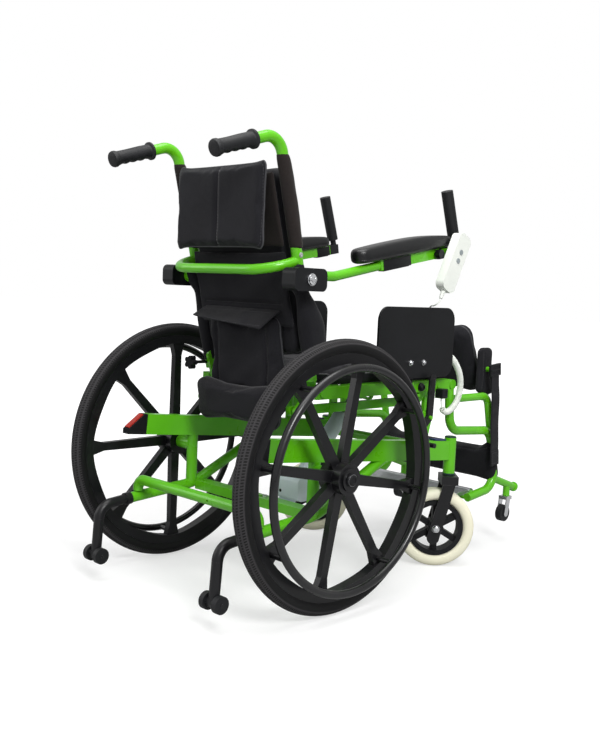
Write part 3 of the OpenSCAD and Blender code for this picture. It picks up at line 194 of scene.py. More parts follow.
def copy_of(piece, name, matrix):
    deselect()
    twin = piece.copy()
    twin.data = piece.data.copy()
    twin.name = name
    scene.collection.objects.link(twin)
    twin.data.transform(matrix)
    if matrix.determinant() < 0:
        twin.data.flip_normals()
    return twin


MIRROR = Matrix.Diagonal((-1, 1, 1, 1))


def join(name, pieces):
    deselect()
    for p in pieces:
        p.select_set(True)
    bpy.context.view_layer.objects.active = pieces[0]
    if len(pieces) > 1:
        bpy.ops.object.join()
    pieces[0].name = name
    return pieces[0]


def dress(piece, material, body):
    piece.data.materials.clear()
    piece.data.materials.append(material)
    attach(piece, body)
    return piece


def coords(piece):
    p = np.zeros(len(piece.data.vertices) * 3)
    piece.data.vertices.foreach_get("co", p)
    return p.reshape(-1, 3)


def set_coords(piece, p):
    piece.data.vertices.foreach_set("co", np.asarray(p, float).ravel())
    piece.data.update()


def turned(name, profile, base, tip, sides=48):
    """A turned piece: points (distance along, radius) spun round the line from base towards tip."""
    deselect()
    bpy.ops.mesh.primitive_circle_add(vertices=sides, radius=1, fill_type="NGON")
    piece = bpy.context.object
    piece.name = name
    along, radius = profile[0]
    put(piece, Matrix.Translation((0, 0, along)) @ Matrix.Diagonal((radius, radius, 1, 1)))
    pick(piece, "FACE", lambda c, n: True)
    for (z0, r0), (z1, r1) in zip(profile, profile[1:]):
        bpy.ops.mesh.extrude_region_move(TRANSFORM_OT_translate={"value": (0, 0, z1 - z0)})
        k = r1 / r0
        bpy.ops.transform.resize(value=(k, k, 1), center_override=(0, 0, z1))
    bpy.ops.mesh.select_all(action="SELECT")
    bpy.ops.mesh.normals_make_consistent(inside=False)
    done_editing()
    base, tip = Vector(base), Vector(tip)
    put(piece, Matrix.Translation(base) @ (tip - base).to_track_quat("Z", "Y").to_matrix().to_4x4())
    return smooth(piece)


# Finishes
def group(name, inputs, outputs):
    tree = bpy.data.node_groups.new(name, "ShaderNodeTree")
    for label, value in inputs:
        socket = tree.interface.new_socket(name=label, in_out="INPUT", socket_type="NodeSocketFloat")
        socket.default_value = value
    for label, kind in outputs:
        tree.interface.new_socket(name=label, in_out="OUTPUT", socket_type=kind)
    return tree, Tree(tree), tree.nodes.new("NodeGroupInput"), tree.nodes.new("NodeGroupOutput")


class Tree:
    """Short words for placing and joining nodes."""

    def __init__(self, tree):
        self.tree = tree

    def add(self, kind, **values):
        node = self.tree.nodes.new("ShaderNode" + kind)
        for key, value in values.items():
            setattr(node, key, value)
        return node

    def feed(self, socket, value):
        if isinstance(value, bpy.types.NodeSocket):
            self.tree.links.new(value, socket)
        elif value is not None:
            socket.default_value = value

    def math(self, operation, a, b=None, c=None):
        node = self.add("Math", operation=operation)
        for socket, value in zip(node.inputs, (a, b, c)):
            self.feed(socket, value)
        return node.outputs[0]

    def blend(self, factor, a, b):
        node = self.add("Mix", data_type="RGBA")
        for socket, value in zip((node.inputs[0], node.inputs[6], node.inputs[7]), (factor, a, b)):
            self.feed(socket, value)
        return node.outputs[2]

    def span(self, value, low, high, to_low=0.0, to_high=1.0):
        node = self.add("MapRange")
        for socket, v in zip(node.inputs, (value, low, high, to_low, to_high)):
            self.feed(socket, v)
        return node.outputs[0]

    def noise(self, scale, detail=3.0, vector=None):
        node = self.add("TexNoise")
        self.feed(node.inputs["Vector"], vector or self.add("TexCoord").outputs["Object"])
        self.feed(node.inputs["Scale"], scale)
        node.inputs["Detail"].default_value = detail
        return node.outputs["Fac"]

    def place(self, tree, **values):
        node = self.add("Group", node_tree=tree)
        for key, value in values.items():
            self.feed(node.inputs[key.replace("_", " ")], value)
        return node


def grain_group():
    tree, t, start, end = group("Fine grain", [("Scale", 400.0), ("Blotch scale", 9.0)],
                                [("Height", "NodeSocketFloat"), ("Blotch", "NodeSocketFloat")])
    t.feed(end.inputs["Height"], t.noise(start.outputs["Scale"], 2.0))
    t.feed(end.inputs["Blotch"], t.span(t.noise(start.outputs["Blotch scale"], 4.0), 0.3, 0.7))
    return tree


def wear_group():
    tree, t, start, end = group("Edge wear", [("Width", 0.002), ("Amount", 0.6)],
                                [("Mask", "NodeSocketFloat")])
    bevel = t.add("Bevel", samples=3)
    t.feed(bevel.inputs["Radius"], start.outputs["Width"])
    dot = t.add("VectorMath", operation="DOT_PRODUCT")
    t.feed(dot.inputs[0], bevel.outputs[0])
    t.feed(dot.inputs[1], t.add("NewGeometry").outputs["Normal"])
    edge = t.span(dot.outputs["Value"], 0.985, 0.86)
    worn = t.math("MULTIPLY", edge, t.span(t.noise(55.0, 5.0), 0.42, 0.66))
    t.feed(end.inputs["Mask"], t.math("MULTIPLY", worn, start.outputs["Amount"]))
    return tree


def dust_group():
    tree, t, start, end = group("Dust", [("Amount", 0.3)], [("Mask", "NodeSocketFloat")])
    axis = t.add("SeparateXYZ")
    t.feed(axis.inputs[0], t.add("NewGeometry").outputs["Normal"])
    lying = t.span(axis.outputs["Z"], 0.2, 1.0)
    patch = t.span(t.noise(24.0, 6.0), 0.35, 0.8)
    t.feed(end.inputs["Mask"], t.math("MULTIPLY", t.math("MULTIPLY", lying, patch), start.outputs["Amount"]))
    return tree


def weave_group():
    tree, t, start, end = group("Weave", [("Threads per metre", 900.0)],
                                [("Height", "NodeSocketFloat"), ("Thread", "NodeSocketFloat")])
    axis = t.add("SeparateXYZ")
    t.feed(axis.inputs[0], t.add("TexCoord").outputs["Object"])
    turns = t.math("MULTIPLY", start.outputs["Threads per metre"], 2 * math.pi)
    waves = [t.math("SINE", t.math("MULTIPLY", axis.outputs[i], turns)) for i in range(3)]
    over = t.math("MULTIPLY", waves[0], waves[2])
    across = t.math("MULTIPLY", waves[0], waves[1])
    both = t.math("ADD", over, across)
    t.feed(end.inputs["Height"], t.span(both, -1.6, 1.6))
    t.feed(end.inputs["Thread"], t.noise(t.math("MULTIPLY", start.outputs["Threads per metre"], 0.5), 2.0))
    return tree


GRAIN, WEAR, DUST, WEAVE = grain_group(), wear_group(), dust_group(), weave_group()


def rgb(r, g, b):
    """A colour as seen on screen, 0 to 255, to the light it stands for."""
    shares = [c / 255 for c in (r, g, b)]
    return (*(((s + 0.055) / 1.055) ** 2.4 if s > 10 / 255 else s / 12.92 for s in shares), 1.0)


def material(name):
    made = bpy.data.materials.new(name)
    made.use_nodes = True
    made.node_tree.nodes.clear()
    t = Tree(made.node_tree)
    shader = t.add("BsdfPrincipled")
    out = t.add("OutputMaterial")
    t.feed(out.inputs["Surface"], shader.outputs[0])
    return made, t, shader


def bump(t, shader, height, depth, strength=1.0):
    node = t.add("Bump")
    node.inputs["Strength"].default_value = strength
    node.inputs["Distance"].default_value = depth
    t.feed(node.inputs["Height"], height)
    t.feed(shader.inputs["Normal"], node.outputs[0])


def hard_finish(name, colour, other, rough, grain=500.0, depth=0.00003, worn=None, wear=0.5, width=0.0015,
                dusty=0.12, metallic=0.0, coat=0.0, spread=0.1, gloss=0.5):
    """Paint, plastic or metal: two near tones in patches, a fine grain, rubbed edges and a little dust."""
    made, t, shader = material(name)
    fine = t.place(GRAIN, Scale=grain)
    tone = t.blend(fine.outputs["Blotch"], colour, other)
    if worn:
        tone = t.blend(t.place(WEAR, Width=width, Amount=wear).outputs["Mask"], tone, worn)
    if dusty:
        dust = t.place(DUST, Amount=dusty).outputs["Mask"]
        tone = t.blend(dust, tone, rgb(176, 172, 164))
    t.feed(shader.inputs["Base Color"], tone)
    matt = t.span(fine.outputs["Blotch"], 0.0, 1.0, rough - spread / 2, rough + spread / 2)
    t.feed(shader.inputs["Roughness"], matt)
    shader.inputs["Metallic"].default_value = metallic
    shader.inputs["Specular IOR Level"].default_value = gloss
    shader.inputs["Coat Weight"].default_value = coat
    shader.inputs["Coat Roughness"].default_value = 0.08
    bump(t, shader, fine.outputs["Height"], depth)
    return made


def cloth_finish(name, colour, other, threads=900.0, rough=0.82, sheen=0.25, depth=0.00012):
    made, t, shader = material(name)
    weave = t.place(WEAVE, Threads_per_metre=threads)
    fine = t.place(GRAIN, Scale=260.0, Blotch_scale=7.0)
    tone = t.blend(fine.outputs["Blotch"], colour, other)
    tone = t.blend(t.math("MULTIPLY", weave.outputs["Height"], 0.35), tone, rgb(46, 45, 50))
    dust = t.place(DUST, Amount=0.07).outputs["Mask"]
    t.feed(shader.inputs["Base Color"], t.blend(dust, tone, rgb(120, 117, 112)))
    t.feed(shader.inputs["Roughness"], t.span(weave.outputs["Thread"], 0.2, 0.8, rough - 0.12, rough + 0.08))
    shader.inputs["Specular IOR Level"].default_value = 0.15
    shader.inputs["Sheen Weight"].default_value = sheen
    shader.inputs["Sheen Roughness"].default_value = 0.4
    height = t.math("ADD", weave.outputs["Height"], t.math("MULTIPLY", fine.outputs["Height"], 0.6))
    bump(t, shader, height, depth)
    return made


def tyre_finish():
    """Fine grey tread lines round the outside of the tyre, smooth black walls beside them."""
    made, t, shader = material("tyre_rubber_tread")
    axis = t.add("SeparateXYZ")
    shift = t.add("Mapping")
    shift.inputs["Location"].default_value = (0, MIDDLE_Y, -0.305)
    t.feed(shift.inputs["Vector"], t.add("TexCoord").outputs["Object"])
    t.feed(axis.inputs[0], shift.outputs[0])
    across = t.math("SUBTRACT", t.math("ABSOLUTE", axis.outputs["X"]), 0.295)
    squares = [t.math("POWER", axis.outputs[i], 2.0) for i in "YZ"]
    reach = t.math("SQRT", t.math("ADD", *squares))
    around = t.math("ARCTAN2", axis.outputs["Z"], axis.outputs["Y"])
    slant = t.math("MULTIPLY", t.math("ABSOLUTE", across), 340.0)
    one = t.math("SINE", t.math("ADD", t.math("MULTIPLY", around, 310.0), slant))
    rows = t.math("SINE", t.math("MULTIPLY", across, 820.0))
    blocks = t.span(t.math("MAXIMUM", one, t.math("MULTIPLY", rows, 0.9)), -0.2, 0.5)
    tread = t.span(reach, 0.291, 0.294)
    fine = t.place(GRAIN, Scale=700.0, Blotch_scale=14.0)
    face = t.blend(blocks, rgb(24, 24, 25), rgb(58, 57, 59))
    face = t.blend(t.math("MULTIPLY", fine.outputs["Blotch"], 0.25), face, rgb(56, 54, 52))
    t.feed(shader.inputs["Base Color"], t.blend(tread, rgb(17, 17, 18), face))
    t.feed(shader.inputs["Roughness"], t.span(tread, 0.0, 1.0, 0.55, 0.85))
    shader.inputs["Specular IOR Level"].default_value = 0.2
    grain = t.math("MULTIPLY", fine.outputs["Height"], 0.06)
    bump(t, shader, t.math("ADD", t.math("MULTIPLY", blocks, tread), grain), 0.0016)
    return made


def steel_finish(name, colour, rough, scratch=0.00002):
    made, t, shader = material(name)
    lines = t.add("Mapping")
    lines.inputs["Scale"].default_value = (40, 900, 900)
    t.feed(lines.inputs["Vector"], t.add("TexCoord").outputs["Object"])
    brushed = t.noise(1.0, 3.0, lines.outputs[0])
    fine = t.place(GRAIN, Scale=800.0, Blotch_scale=60.0)
    darker = tuple(c * 0.82 for c in colour[:3]) + (1,)
    t.feed(shader.inputs["Base Color"], t.blend(fine.outputs["Blotch"], colour, darker))
    t.feed(shader.inputs["Roughness"], t.span(brushed, 0.25, 0.75, rough - 0.08, rough + 0.1))
    shader.inputs["Metallic"].default_value = 1.0
    bump(t, shader, brushed, scratch)
    return made


GREEN = hard_finish("green_powder_coat", rgb(98, 192, 20), rgb(88, 180, 16), 0.3, 900.0, 0.00004,
                    worn=rgb(150, 205, 96), wear=0.6, dusty=0.05, coat=0.2, gloss=0.4)
BLACK = hard_finish("black_moulded_plastic", rgb(13, 14, 16), rgb(19, 20, 23), 0.46, 1500.0, 0.00006,
                    worn=rgb(60, 61, 64), dusty=0.03, gloss=0.25)
MAG = hard_finish("mag_wheel_black", rgb(12, 12, 14), rgb(17, 17, 20), 0.36, 1100.0, 0.00005,
                  worn=rgb(92, 93, 98), coat=0.1, dusty=0.04, gloss=0.3)
RIM = hard_finish("push_rim_black", rgb(13, 13, 15), rgb(18, 18, 21), 0.3, 900.0, 0.00003,
                  worn=rgb(86, 86, 88), coat=0.2, dusty=0.04, gloss=0.4)
BLACK_PAINT = hard_finish("satin_black_paint", rgb(15, 15, 17), rgb(20, 20, 23), 0.38, 800.0, 0.00004,
                          worn=rgb(110, 111, 114), dusty=0.05, gloss=0.35)
CREAM = hard_finish("cream_solid_tyre", rgb(246, 243, 219), rgb(238, 234, 208), 0.62, 420.0, 0.00012,
                    dusty=0.06)
GRIP = hard_finish("grip_rubber_black", rgb(14, 15, 17), rgb(20, 21, 24), 0.55, 1700.0, 0.0001,
                   worn=rgb(70, 70, 74), dusty=0.04, gloss=0.35)
VINYL = hard_finish("arm_pad_vinyl", rgb(13, 14, 15), rgb(18, 19, 21), 0.36, 1250.0, 0.00016,
                    worn=rgb(80, 80, 84), dusty=0.03, gloss=0.45)
SHELL = hard_finish("motor_shell_grey", rgb(232, 243, 250), rgb(222, 234, 243), 0.5, 900.0, 0.00006,
                    worn=rgb(238, 244, 248))
WHITE = hard_finish("handset_white", rgb(238, 241, 234), rgb(230, 234, 227), 0.42, 1300.0, 0.00004,
                    worn=rgb(245, 246, 244), dusty=0.05)
KEYS = hard_finish("key_grey_rubber", rgb(150, 158, 160), rgb(136, 144, 148), 0.58, 1200.0, 0.00006,
                   dusty=0.05)
RED = hard_finish("red_reflector", rgb(190, 46, 30), rgb(160, 30, 20), 0.2, 320.0, 0.0003,
                  coat=0.6, dusty=0.1)
BLUE = hard_finish("dark_blue_plastic", rgb(30, 44, 96), rgb(24, 36, 80), 0.42, 1200.0, 0.00005)
CHROME = steel_finish("small_chrome", (0.78, 0.79, 0.81, 1), 0.14)
STEEL = steel_finish("zinc_steel", (0.62, 0.63, 0.65, 1), 0.34)
PLATE = steel_finish("ribbed_aluminium", (0.66, 0.67, 0.69, 1), 0.42, 0.00004)
TYRE = tyre_finish()
CLOTH = cloth_finish("black_nylon", rgb(18, 18, 21), rgb(25, 25, 29), sheen=0.1)
MESH = cloth_finish("brown_black_mesh", rgb(44, 37, 32), rgb(32, 27, 25), 420.0, 0.9, 0.12, 0.0003)
WEBBING = cloth_finish("black_webbing", rgb(20, 20, 22), rgb(28, 28, 31), 500.0, 0.78, 0.12, 0.0003)
TEAL = hard_finish("dark_teal_plastic", rgb(26, 56, 52), rgb(20, 46, 44), 0.4, 1200.0, 0.00005)

SLOT_FINISH = {
    "green_paint": GREEN, "black_plastic": BLACK, "mag_black": MAG, "red_lens": RED, "steel": STEEL,
    "black_paint": BLACK_PAINT, "tyre_rubber": TYRE, "cream_tyre": CREAM, "grip_rubber": GRIP,
    "upholstery": CLOTH, "webbing": WEBBING, "arm_vinyl": VINYL, "motor_shell": SHELL,
    "handset_shell": WHITE, "key_grey": KEYS, "plate_aluminium": PLATE, "chrome_small": CHROME,
}
for part in frame["record"]["subparts"]:
    node = nodes[part["node"]]
    finish = SLOT_FINISH[part["material_slot"]]
    if node.name.endswith("handrim"):
        finish = RIM
    if not node.material_slots:
        node.data.materials.append(finish)
    for place in node.material_slots:
        place.material = finish

set_camera()


# The handset's curly cord
CORD_D = 0.0034
ARM_TILT = 10.5


def tube(name, points, radius, closed=False, sides=3):
    """A round tube along a line of points."""
    deselect()
    line = bpy.data.curves.new(name, "CURVE")
    line.dimensions = "3D"
    run = line.splines.new("POLY")
    run.points.add(len(points) - 1)
    for point, place in zip(run.points, points):
        point.co = (*place, 1)
    run.use_cyclic_u = closed
    line.bevel_depth, line.bevel_resolution, line.use_fill_caps = radius, sides, True
    piece = bpy.data.objects.new(name, line)
    scene.collection.objects.link(piece)
    take(piece)
    bpy.ops.object.convert(target="MESH")
    piece = bpy.context.object
    piece.name = name
    outwards(piece)
    return smooth(piece)


def ease(x):
    x = min(max(x, 0.0), 1.0)
    return x * x * (3 - 2 * x)


def cord_line():
    """The cord's line: straight out of the handset, over the side guard, then curled down to its socket."""
    tilt = math.radians(26.6)
    down = Vector((0, -math.sin(tilt), -math.cos(tilt)))
    rise = math.radians(ARM_TILT)
    handset = Vector((258, 286 + 180 * math.cos(rise) - 36, 805 + 180 * math.sin(rise) - 44.8))
    start, end = handset + down * 99.8, Vector((214, 470, 445.7))
    route = [start, start + down * 8] + [Vector(p) for p in (
        (252, 375, 689), (240, 380, 685), (226, 389, 684), (214, 398, 675), (211, 408, 654), (211, 428, 616),
        (211, 454, 585), (213, 486, 562), (214, 520, 538), (215, 544, 504), (215, 549, 468), (215, 538, 436),
        (215, 516, 416), (214, 494, 409), (214, 476, 418))] + [end - Vector((0, 0, 8)), end]
    last = len(route) - 1

    def on(t):
        i = min(int(t), last - 1)
        f = t - i
        a, b, c, d = route[max(i - 1, 0)], route[i], route[i + 1], route[min(i + 2, last)]
        square, cube = 2 * a - 5 * b + 4 * c - d, 3 * b - a - 3 * c + d
        return 0.5 * (2 * b + (c - a) * f + square * f * f + cube * f ** 3)

    first, final, turns, per_turn = 8.6, 16.2, 64, 14
    places = np.linspace(first, final, 241)
    steps = [(on(b) - on(a)).length for a, b in zip(places, places[1:])]
    along = np.concatenate([[0], np.cumsum(steps)])
    count = turns * per_turn
    line = [on(t) for t in np.arange(0, 8, 0.2)]
    for i in range(count + 1):
        t = float(np.interp(along[-1] * i / count, along, places))
        d = (on(min(t + 0.02, last)) - on(max(t - 0.02, 0))).normalized()
        n = Vector((1, 0, 0)).cross(d).normalized()
        a = 2 * math.pi * i / per_turn
        out = 7 * ease(i / per_turn / 1.5) * ease((count - i) / per_turn / 1.5)
        line.append(on(t) + out * (n * math.cos(a) + d.cross(n) * math.sin(a)))
    line += [on(final + (last - final) * i / 5) for i in range(1, 6)]
    return [spot(*p) for p in line], 40 + count // 2


def make_cord():
    line, middle = cord_line()
    upper, lower = line[:middle + 1], line[middle:]
    joint = tube("cord_join_sleeve", [line[middle - 2], line[middle], line[middle + 2]], 0.0023)
    dress(joint, WHITE, "back")
    for name, run, bodies, ends in (
        ("handset_cord_upper", upper, ("back", "right_arm"), (line[middle], line[41])),
        ("handset_cord_lower", lower, ("seat", "back"), (line[-1], line[middle])),
    ):
        piece = tube(name, run, CORD_D / 2)
        piece.data.materials.append(WHITE)
        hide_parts("handset_cord")
        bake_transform(piece)


make_cord()


# Soft goods
def pad_blank(name, width, height, depth, corner, edge):
    """A flat-backed pad before it is filled, lying on its back with its face up."""
    pad = block(name, (-width / 2, -height / 2, 0), (width / 2, height / 2, depth))
    pick(pad, "EDGE", lambda m, d: abs(d.z) > 0.9 * d.length)
    bpy.ops.mesh.bevel(offset=corner, segments=6, affect="EDGES")
    done_editing()
    soften(pad, edge, 4, 1.0)
    return pad


def stuff(pad, net_size, pressure, cap, flat=True):
    """Fills a pad like a cushion: it swells under pressure by cap at most, with its back kept flat."""
    reshape(pad, "REMESH", mode="VOXEL", voxel_size=net_size)
    p = coords(pad)
    fill = pad.modifiers.new("fill", "CLOTH")
    cloth = fill.settings
    cloth.quality, cloth.mass = 4, 0.25
    cloth.tension_stiffness = cloth.compression_stiffness = 18
    cloth.shear_stiffness, cloth.bending_stiffness = 7, 0.6
    cloth.use_pressure, cloth.uniform_pressure_force = True, pressure
    cloth.effector_weights.gravity = 0
    fill.point_cache.frame_start, fill.point_cache.frame_end = 1, 20
    for moment in range(1, 21):
        scene.frame_set(moment)
    bpy.ops.object.modifier_apply(modifier=fill.name)
    moved = coords(pad) - p
    far = np.linalg.norm(moved, axis=1, keepdims=True)
    p = p + moved * np.minimum(1, cap / np.maximum(far, 1e-9))
    scene.frame_set(1)
    if flat:
        p[:, 2] = np.maximum(p[:, 2], 0)
    set_coords(pad, p)
    subdivide(pad)
    return smooth(pad, 1.2)


def flat_grid(name, across, along):
    deselect()
    bpy.ops.mesh.primitive_grid_add(x_subdivisions=across, y_subdivisions=along, size=1)
    piece = bpy.context.object
    piece.name = name
    return piece


def thicken(sheet, wall, edge, segments, angle):
    """Gives a flat sheet a wall and soft edges."""
    reshape(sheet, "SOLIDIFY", thickness=wall, offset=0)
    outwards(sheet)
    soften(sheet, edge, segments)
    smooth(sheet, angle)


def draw_in(pad, path, depth, width):
    """Pulls the face of a pad in along a sewn line of points (x, y)."""
    p = coords(pad)
    path = np.array(path)
    near = np.full(len(p), np.inf)
    for a, b in zip(path, path[1:]):
        d = b - a
        t = np.clip(((p[:, :2] - a) @ d) / max(d @ d, 1e-12), 0, 1)
        near = np.minimum(near, np.linalg.norm(p[:, :2] - a - t[:, None] * d, axis=1))
    face = np.clip(p[:, 2] / max(p[:, 2].max(), 1e-6) * 2 - 0.6, 0, 1)
    p[:, 2] -= depth * np.exp(-(near / width) ** 2) * face
    set_coords(pad, p)


def rumple(pad, size, depth, seed):
    """Soft creases in loose cloth: a few long waves that cross, fading out at the flat back."""
    p = coords(pad)
    wave = np.zeros(len(p))
    for k in range(6):
        a = 0.7 * seed + 1.9 * k
        across = p[:, 0] * math.cos(a) + p[:, 1] * math.sin(a)
        wave += np.sin(across * 2 * math.pi / (size * (0.6 + 0.17 * k)) + seed * k)
    face = np.clip(p[:, 2] / max(p[:, 2].max(), 1e-6) * 1.6 - 0.3, 0, 1)
    p[:, 2] += depth * wave / 6 * face
    set_coords(pad, p)


def round_frame(width, height, corner, step=0.006):
    """Points round a rectangle with round corners."""
    path = []
    for k, (sx, sy) in enumerate(((1, 1), (-1, 1), (-1, -1), (1, -1))):
        middle = Vector((sx * (width / 2 - corner), sy * (height / 2 - corner)))
        turns = [math.pi / 2 * (k + i / 6) for i in range(7)]
        path += [middle + corner * Vector((math.cos(a), math.sin(a))) for a in turns]
    full = []
    for a, b in zip(path, path[1:] + path[:1]):
        n = max(1, int((b - a).length / step))
        full += [a.lerp(b, i / n) for i in range(n)]
    return full


def tree_of(pad):
    points = [v.co for v in pad.data.vertices]
    return BVHTree.FromPolygons(points, [tuple(f.vertices) for f in pad.data.polygons])


def sew(name, pad, path, pitch=0.007):
    """A row of stitches on the face of a pad, along points (x, y)."""
    tree = tree_of(pad)
    stitch = block("stitch", (-0.0021, -0.00045, -0.0003), (0.0021, 0.00045, 0.0004))
    soften(stitch, 0.0003, 1)
    row, gone = [], 0.0
    for a, b in zip(path, path[1:]):
        a, b = Vector(a), Vector(b)
        run = (b - a).length
        while gone < run:
            q = a.lerp(b, gone / run)
            hit, normal, _, _ = tree.ray_cast((q.x, q.y, 0.5), (0, 0, -1))
            if hit is not None:
                ahead = Vector((*(b - a), 0))
                side = normal.cross(ahead).normalized()
                ahead = side.cross(normal).normalized()
                turn = Matrix((ahead, side, normal)).transposed().to_4x4()
                row.append(copy_of(stitch, name, Matrix.Translation(hit) @ turn))
            gone += pitch
        gone -= run
    bpy.data.objects.remove(stitch)
    return join(name, row)


def pipe(name, pad, path, radius, level):
    """A round piping sewn round the edge of a pad at a height above its back."""
    tree = tree_of(pad)
    places = [tree.find_nearest(Vector((q.x, q.y, level)))[0] for q in path]
    return tube(name, places, radius, closed=True, sides=2)


def lean(y, z, slope, forward=False):
    """Where a pad lies on the back posts: its flat side against them, its face to the rear or forwards."""
    turn = Matrix.Rotation(math.atan(-slope), 4, "X")
    step = Matrix.Translation((0, -0.0125 - (0 if forward else 0.0003), 0))
    face = Matrix.Rotation(math.radians(-90 if forward else 90), 4, "X")
    return Matrix.Translation(spot(0, y, z)) @ turn @ step @ face


LOW_SLOPE, HIGH_SLOPE = -65 / 284, -67 / 250
UPRIGHT = Matrix.Rotation(math.radians(90), 4, "X")


def low_post(z):
    return 20 + LOW_SLOPE * (z - 506)


def high_post(z):
    return -45 + HIGH_SLOPE * (z - 790)


def finish_pad(pad, place, finish, body, node, trims=()):
    for piece, look in [(pad, finish), *trims]:
        put(piece, place)
        dress(piece, look, body)
    if node:
        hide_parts(node)


def make_flap():
    flap = pad_blank("upper_flap", 0.306, 0.194, 0.014, 0.013, 0.005)
    stuff(flap, 0.0045, 3.0, 0.006)
    rumple(flap, 0.16, 0.0016, 2.0)
    draw_in(flap, [(0, 0.09), (0, -0.09)], 0.005, 0.007)
    hem = round_frame(0.290, 0.178, 0.012)
    draw_in(flap, hem + hem[:1], 0.0016, 0.004)
    trims = [
        (sew("flap_middle_stitches", flap, [(0.0022, 0.086), (0.0022, -0.09)]), THREAD),
        (sew("flap_hem_stitches", flap, hem + hem[:1]), THREAD_DARK),
        (pipe("flap_piping", flap, round_frame(0.312, 0.2, 0.014), 0.0019, 0.008), PIPING),
    ]
    stand = Matrix.Translation(spot(0, high_post(992) - 12.8, 889.5)) @ UPRIGHT
    finish_pad(flap, stand, CLOTH, "back", "back_flap", trims)


def make_upper_skin():
    """The mesh cloth behind the flap, stretched between the upper posts."""
    skin = pad_blank("upper_back_skin", 0.322, 0.166, 0.006, 0.006, 0.0025)
    stuff(skin, 0.0045, 2.0, 0.002)
    rumple(skin, 0.1, 0.0014, 3.0)
    finish_pad(skin, lean(high_post(886), 886, HIGH_SLOPE), MESH, "back", None)


def make_back_rest():
    rest = pad_blank("back_rest_cushion", 0.322, 0.428, 0.044, 0.03, 0.014)
    stuff(rest, 0.007, 4.0, 0.007)
    seams = [[(x, -0.2), (x, 0.2)] for x in (-0.085, 0.085)]
    for path in seams:
        draw_in(rest, path, 0.006, 0.008)
    trims = [(sew(f"back_rest_stitches_{i}", rest, path, 0.008), THREAD_DARK) for i, path in enumerate(seams)]
    trims.append((pipe("back_rest_piping", rest, round_frame(0.334, 0.44, 0.03), 0.0022, 0.036), PIPING))
    finish_pad(rest, lean(low_post(766.5), 766.5, LOW_SLOPE, True), CLOTH, "back", "back_rest", trims)


def make_back_skin():
    """The cloth over the rear of the back cushion, between the upper flap and the pocket."""
    skin = pad_blank("back_skin", 0.322, 0.176, 0.006, 0.006, 0.0025)
    stuff(skin, 0.0045, 2.0, 0.004)
    rumple(skin, 0.1, 0.002, 5.0)
    row = [(-0.13, -0.034), (0.13, -0.034)]
    draw_in(skin, row, 0.003, 0.006)
    trims = [(sew("back_skin_stitches", skin, row), THREAD_DARK)]
    finish_pad(skin, lean(low_post(712), 712, LOW_SLOPE), CLOTH, "back", None, trims)


def make_pocket():
    pouch = pad_blank("rear_pocket_pouch", 0.268, 0.208, 0.026, 0.022, 0.009)
    stuff(pouch, 0.0055, 5.0, 0.014)
    p = coords(pouch)
    share = np.clip(0.5 - p[:, 1] / 0.208, 0, 1)
    p[:, 2] *= 0.62 + 0.75 * share ** 1.3
    p[:, 0] *= 0.95 + 0.07 * share
    set_coords(pouch, p)
    rumple(pouch, 0.085, 0.0042, 3.0)
    pleats = [[(x, -0.096), (x * 0.96, 0.088)] for x in (-0.088, 0.088)]
    for path in pleats:
        draw_in(pouch, path, 0.006, 0.006)
    draw_in(pouch, [(-0.12, -0.082), (0.12, -0.082)], 0.002, 0.004)
    trims = [(sew(f"pocket_pleat_stitches_{i}", pouch, path), THREAD_DARK) for i, path in enumerate(pleats)]
    trims.append((pipe("pocket_piping", pouch, round_frame(0.278, 0.212, 0.022), 0.0019, 0.008), PIPING))
    finish_pad(pouch, lean(low_post(556), 556, LOW_SLOPE), CLOTH, "back", "rear_pocket", trims)

    skirt = pad_blank("rear_skirt", 0.288, 0.104, 0.030, 0.026, 0.012)
    stuff(skirt, 0.0055, 4.0, 0.012)
    p = coords(skirt)
    p[:, 2] *= 0.8 + 0.35 * np.clip(0.5 + p[:, 1] / 0.084, 0, 1)
    set_coords(skirt, p)
    rumple(skirt, 0.12, 0.003, 7.0)
    hem = [(-0.13, -0.041), (0.13, -0.041)]
    draw_in(skirt, hem, 0.0025, 0.005)
    trims = [(sew("skirt_stitches", skirt, hem), THREAD_DARK),
             (pipe("skirt_piping", skirt, round_frame(0.296, 0.112, 0.026), 0.0019, 0.012), PIPING)]
    finish_pad(skirt, Matrix.Translation(spot(0, -27, 439)) @ UPRIGHT, CLOTH, "back", None, trims)

    visor = flat_grid("pocket_visor", 44, 12)
    p = coords(visor)
    u, v = p[:, 0] * 2, 0.5 - p[:, 1]
    x = u * (0.131 - 0.016 * v)
    y = 0.012 - v * (0.010 + 0.008 * (u + 1)) - 0.006 * v ** 2 * np.clip(u, 0, 1) ** 3
    z = 0.004 + 0.072 * v - 0.007 * v ** 2 * np.abs(u) ** 4
    set_coords(visor, np.stack([x, y, z], axis=1))
    thicken(visor, 0.0034, 0.0012, 2, 0.9)
    row = sew("visor_stitches", visor, [(-0.122, 0.0095), (0.122, 0.0075)])
    edge = sew("visor_hem_stitches", visor, [(-0.1087, 0.0038), (0.1087, -0.0125)])
    place = lean(low_post(656), 656, LOW_SLOPE)
    for piece, look in ((visor, CLOTH), (row, THREAD_DARK), (edge, THREAD_DARK)):
        put(piece, place)
        dress(piece, look, "back")


